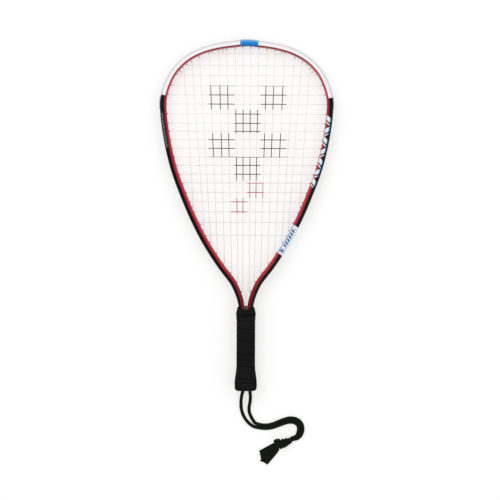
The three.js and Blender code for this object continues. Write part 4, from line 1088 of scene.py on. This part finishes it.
cross_path = [cross_tie_crown.at(NUB_U)[None, :],
              channel_run(cross_tie_crown, crosses[0].mirrored(), -LANE)]
for row, hole in enumerate(crosses):
    start, end = (hole.mirrored(), hole) if row % 2 == 0 else (hole, hole.mirrored())
    cross_path.append(string_run(start, end, 0, [(index, row) for index in range(len(main_lines))],
                                 CROSS_RISE, CROSS_STEP))
    following = crosses[row + 1] if row + 1 < len(crosses) else cross_tie_throat
    if row % 2 == 1 and row + 1 < len(crosses):
        following = following.mirrored()
    cross_path.append(channel_run(end, following, -LANE))
cross_path.append(cross_tie_throat.at(NUB_U)[None, :])

for name, path in (("main_string", main_path), ("cross_string", cross_path)):
    piece(name + "_woven", *tube(np.vstack(path), STRING_RADIUS, STRING_SIDES), RACKET, STRING,
          "string_nylon", [name], sharp=80)


def tie_knot(name, hole, seed):
    """A small knot at the nub: two tight turns of string and a cut end."""
    parts = Parts()
    tip, inward = hole.at(NUB_U), -hole.way
    centre = tip + inward * 1.75
    side = np.cross(inward, UP)
    turns = [centre + inward * (0.55 * (t - 0.5) * 2) + side * 0.82 * math.cos(a)
             + UP * 0.82 * math.sin(a)
             for t, a in ((k / 30, seed + 2 * math.pi * 1.8 * k / 30) for k in range(31))]
    stub = [turns[-1], centre + inward * 1.2 + side * 0.9, centre + inward * 1.5 + side * 1.3]
    for path, radius in ((turns, 0.52), ([tip, centre, centre + inward * 0.9], 0.55),
                         (smooth_curve(stub, 4), 0.5)):
        parts.add(*tube(path, radius, STRING_SIDES))
    piece(name + "_tied", *parts.all(), RACKET, STRING, "string_nylon", [name])


for name, hole, seed in (("main_string_knot_left", main_tie.mirrored(), 0.3),
                         ("main_string_knot_right", main_tie, 1.4),
                         ("cross_string_knot_crown", cross_tie_crown, 2.2),
                         ("cross_string_knot_throat", cross_tie_throat, 0.9)):
    tie_knot(name, hole, seed)

# ---- handle

CORNER_CUTS, TURN_STEPS, TURN_TRAVEL, WRAP_LIFT = 3, 128, 92.0, 0.02
# Thickness of the grip strip by the share of its width
STRIP_SHARES = [0.0, 0.012, 0.035, 0.07, 0.12, 0.2, 0.32, 0.5, 0.68, 0.8, 0.88, 0.93, 0.965,
                0.988, 1.0]
STRIP_SHAPE = [0.66, 0.82, 0.92, 0.98, 1.0, 1.0, 0.985, 0.975, 0.985, 1.0, 1.0, 0.98, 0.94,
               0.85, 0.7]


def grip_ring(half_width, y, corner=CORNER):
    """An eight-sided ring with eased corners, cut finer by rounds of corner cutting."""
    depth = half_width - FLATTENING
    quarter = [(half_width, depth - corner - EASE),
               (half_width - EASE / 2, depth - corner + EASE / 2),
               (half_width - corner + EASE / 2, depth - EASE / 2),
               (half_width - corner - EASE, depth)]
    ring = (quarter + [(-x, z) for x, z in reversed(quarter)] + [(-x, -z) for x, z in quarter]
            + [(x, -z) for x, z in reversed(quarter)])
    ring = np.array(ring, float)
    for _ in range(CORNER_CUTS):
        after = np.roll(ring, -1, axis=0)
        ring = np.stack([0.75 * ring + 0.25 * after, 0.25 * ring + 0.75 * after], 1).reshape(-1, 2)
    return np.column_stack([ring[:, 0], np.full(len(ring), y), ring[:, 1]])


def sleeve(profile, corner=CORNER, shape=lambda ring, width: ring):
    """A closed ring-shaped solid from a closed profile of half width and height."""
    return skin([shape(grip_ring(width, y, corner), width) for width, y in profile], closed=True)


def skirt(y):
    share = min(1.0, max(0.0, (SKIRT_TOP - y) / (SKIRT_TOP - WRAP_BOTTOM)))
    return mix(SHELL_HALF + FIT + SKIRT_LIP, SKIRT_FOOT, share ** SKIRT_CURVE)


def wrap_radius(y):
    rise = max(0.0, y - SKIRT_TOP) / (WRAP_PITCH / 2)
    return mix(skirt(y) + FIT, SHELL_HALF + FIT, min(1.0, rise))


def grip_wrap():
    width = WRAP_PITCH - WRAP_SEAM
    turns = (WRAP_TOP - WRAP_BOTTOM + width - 2 * WRAP_TIP) / WRAP_PITCH
    outer = [(t, WRAP_THICKNESS * h) for t, h in zip(STRIP_SHARES, STRIP_SHAPE)]
    inner = [(t, WRAP_LIFT) for t in (1.0, 0.75, 0.5, 0.25, 0.0)]
    rings, across, travel = [], [], []
    for i in range(int(turns * TURN_STEPS) + 1):
        base = WRAP_BOTTOM - width + WRAP_TIP + i / TURN_STEPS * WRAP_PITCH
        low = min(max(base, WRAP_BOTTOM), WRAP_TOP - WRAP_TIP)
        high = max(min(base + width, WRAP_TOP), WRAP_BOTTOM + WRAP_TIP)
        ring = []
        for t, lift in outer + inner:
            y = mix(low, high, t)
            ring.append(grip_ring(wrap_radius(y) + lift, y)[i % TURN_STEPS])
            across.append(t)
        rings.append(ring)
        travel += [i / TURN_STEPS * TURN_TRAVEL] * len(ring)
    return skin(rings), across, travel


(points, faces), across, travel = grip_wrap()
piece("grip_wrap_leather", points, faces, RACKET, GRIP, "grip_leather", ["grip_wrap"], sharp=35,
      attributes={"strip_across": across, "strip_travel": travel})

inner = SHELL_HALF + FIT
outer = inner + TAPE_THICKNESS
# The tape's side in from its face and up from its foot, with a step where its end overlaps
tape_side = [(0.3, 0), (0.1, 0.1), (0, 0.3), (0, 2.2), (0.12, 2.35), (0.12, 4.5), (0, 4.65)]
tape_profile = [(inner, TAPE_BOTTOM), *((outer - x, TAPE_BOTTOM + y) for x, y in tape_side),
                *((outer - x, TAPE_TOP - y) for x, y in tape_side[2::-1]), (inner, TAPE_TOP)]
piece("finishing_tape_band", *sleeve(tape_profile), RACKET, TAPE, "tape_vinyl",
      ["finishing_tape"])

leg_edge = float(section_points(travel_at(COLLAR_TOP), HALF_W, 0.0)[0, 0, 0]) + COLLAR_FIT
waist = mix(COLLAR_BOTTOM, COLLAR_TOP, COLLAR_WAIST)
ease = COLLAR_EDGE / 2
lip = leg_edge + COLLAR_LIP
collar_foot = [(ease, 0), (ease * 0.3, 0.25), (0, 0.9), (0, COLLAR_EDGE), (0.15, 2.9), (0.6, 4.6)]
collar_profile = [(leg_edge, COLLAR_BOTTOM),
                  *((COLLAR_HALF - x, COLLAR_BOTTOM + y) for x, y in collar_foot),
                  ((COLLAR_HALF + leg_edge) / 2 + ease, waist), (lip + ease + 0.4, waist + 2.2),
                  (lip + ease, COLLAR_TOP - COLLAR_EDGE), (lip + ease * 0.8, COLLAR_TOP - 0.6),
                  (lip + ease * 0.2, COLLAR_TOP - 0.1), (leg_edge + COLLAR_LIP * 0.6, COLLAR_TOP),
                  (leg_edge, COLLAR_TOP)]


def mouth_dip(ring, width):
    """Draws both faces down in the middle of the collar's mouth."""
    dip = COLLAR_DIP / (COLLAR_TOP - COLLAR_BOTTOM) * (1 - (ring[:, 0] / width) ** 2)
    ring[:, 1] = mix(COLLAR_BOTTOM, ring[:, 1], 1 - dip)
    return ring


piece("grip_collar_moulded", *sleeve(collar_profile, COLLAR_CORNER, mouth_dip), RACKET, COLLAR,
      "collar_rubber", ["grip_collar"])


def cap_solid():
    heights = np.linspace(SKIRT_TOP, WRAP_BOTTOM - FIT, 22)
    rings = [grip_ring(skirt(y) - (0.25 if i == 0 else 0), y) for i, y in enumerate(heights)]
    foot = [(CAP_HALF - FIT / 2 - 0.3, WRAP_BOTTOM - FIT), (CAP_HALF - 0.05, WRAP_BOTTOM - 0.6),
            (CAP_HALF, WRAP_BOTTOM - 2 * FIT - 0.9), (CAP_HALF + 0.05, 9.4),
            (CAP_HALF - 0.1, CAP_ROUND + 0.8)]
    foot += [(CAP_HALF - CAP_ROUND * 0.9 * (1 - math.cos(a)), CAP_ROUND * (1 - math.sin(a)))
             for a in np.linspace(0.18, math.pi / 2, 9)]
    rings += [grip_ring(width, y) for width, y in foot]
    return skin(rings)


def slot_ring(spread, y):
    ends, radius = POCKET_HALF - POCKET_HALF_DEPTH, POCKET_HALF_DEPTH + spread
    side = [(PIN_OFFSET + ends + radius * math.cos(a), y, radius * math.sin(a))
            for a in np.linspace(-math.pi / 2, math.pi / 2, 15)]
    return side + [(2 * PIN_OFFSET - x, y, -z) for x, y, z in side]


def finished(obj):
    """Points and faces of an object with its modifiers applied; the object itself goes."""
    bpy.context.view_layer.update()
    mesh = obj.evaluated_get(bpy.context.evaluated_depsgraph_get()).to_mesh()
    points = np.array([tuple(v.co) for v in mesh.vertices])
    faces = [tuple(p.vertices) for p in mesh.polygons]
    obj.to_mesh_clear()
    bpy.data.objects.remove(obj)
    return points, faces


def carved(name, solid, cutters):
    """A solid with other solids cut out of it."""
    base = new_object(name, laid(solid[0]), solid[1])
    tools = [new_object("%s_cutter" % name, laid(points), faces) for points, faces in cutters]
    for tool in tools:
        modifier = base.modifiers.new("cut", "BOOLEAN")
        modifier.operation, modifier.solver, modifier.object = "DIFFERENCE", "EXACT", tool
    result = finished(base)
    for tool in tools:
        bpy.data.objects.remove(tool)
    return result


pocket_rings = [slot_ring(0.9, -2), slot_ring(0.9, 0), slot_ring(0.55, 0.22),
                slot_ring(0.25, 0.5), slot_ring(0, 0.9), slot_ring(0, POCKET_DEPTH)]
cavity_rings = [grip_ring(SHELL_HALF + FIT, y) for y in (SKIRT_TOP + 2, CAP_FLOOR)]
piece("butt_cap_moulded", *carved("cap_block", cap_solid(), [skin(pocket_rings),
                                                             skin(cavity_rings)]),
      RACKET, CAP, "butt_rubber", ["butt_cap"], np.asarray, 38)


def bevelled(node, name, material, slot, width, segments=3, angle=25):
    """A finer copy of a CAD node, its edges rounded, that stands for the node."""
    obj = bpy.data.objects.new(name + "_copy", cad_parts[node].data.copy())
    scene.collection.objects.link(obj)
    obj.modifiers.new("weld", "WELD").merge_threshold = WELD_BELOW
    bevel = obj.modifiers.new("bevel", "BEVEL")
    bevel.width, bevel.segments = width * MM, segments
    bevel.limit_method, bevel.angle_limit = "ANGLE", math.radians(angle)
    piece(name, *finished(obj), RACKET, material, slot, [node], np.asarray, 50)


bevelled("throat_plug", "throat_plug_moulded", PLUG, "collar_rubber", 0.7)
bevelled("lanyard_pin", "lanyard_pin_turned", STEEL, "steel_wire", 0.25, 2, 50)
for face in ("front", "back"):
    bevelled("butt_staple_" + face, "butt_staple_%s_wire" % face, STEEL, "steel_wire", 0.15, 2)

# CAD solids that stay as they are, hidden under the wrap
for node, material in (("handle_shell_front", SHELL), ("handle_shell_back", SHELL),
                       ("leg_spacer", SPACER)):
    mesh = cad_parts[node].data
    mesh.materials.clear()
    mesh.materials.append(material)
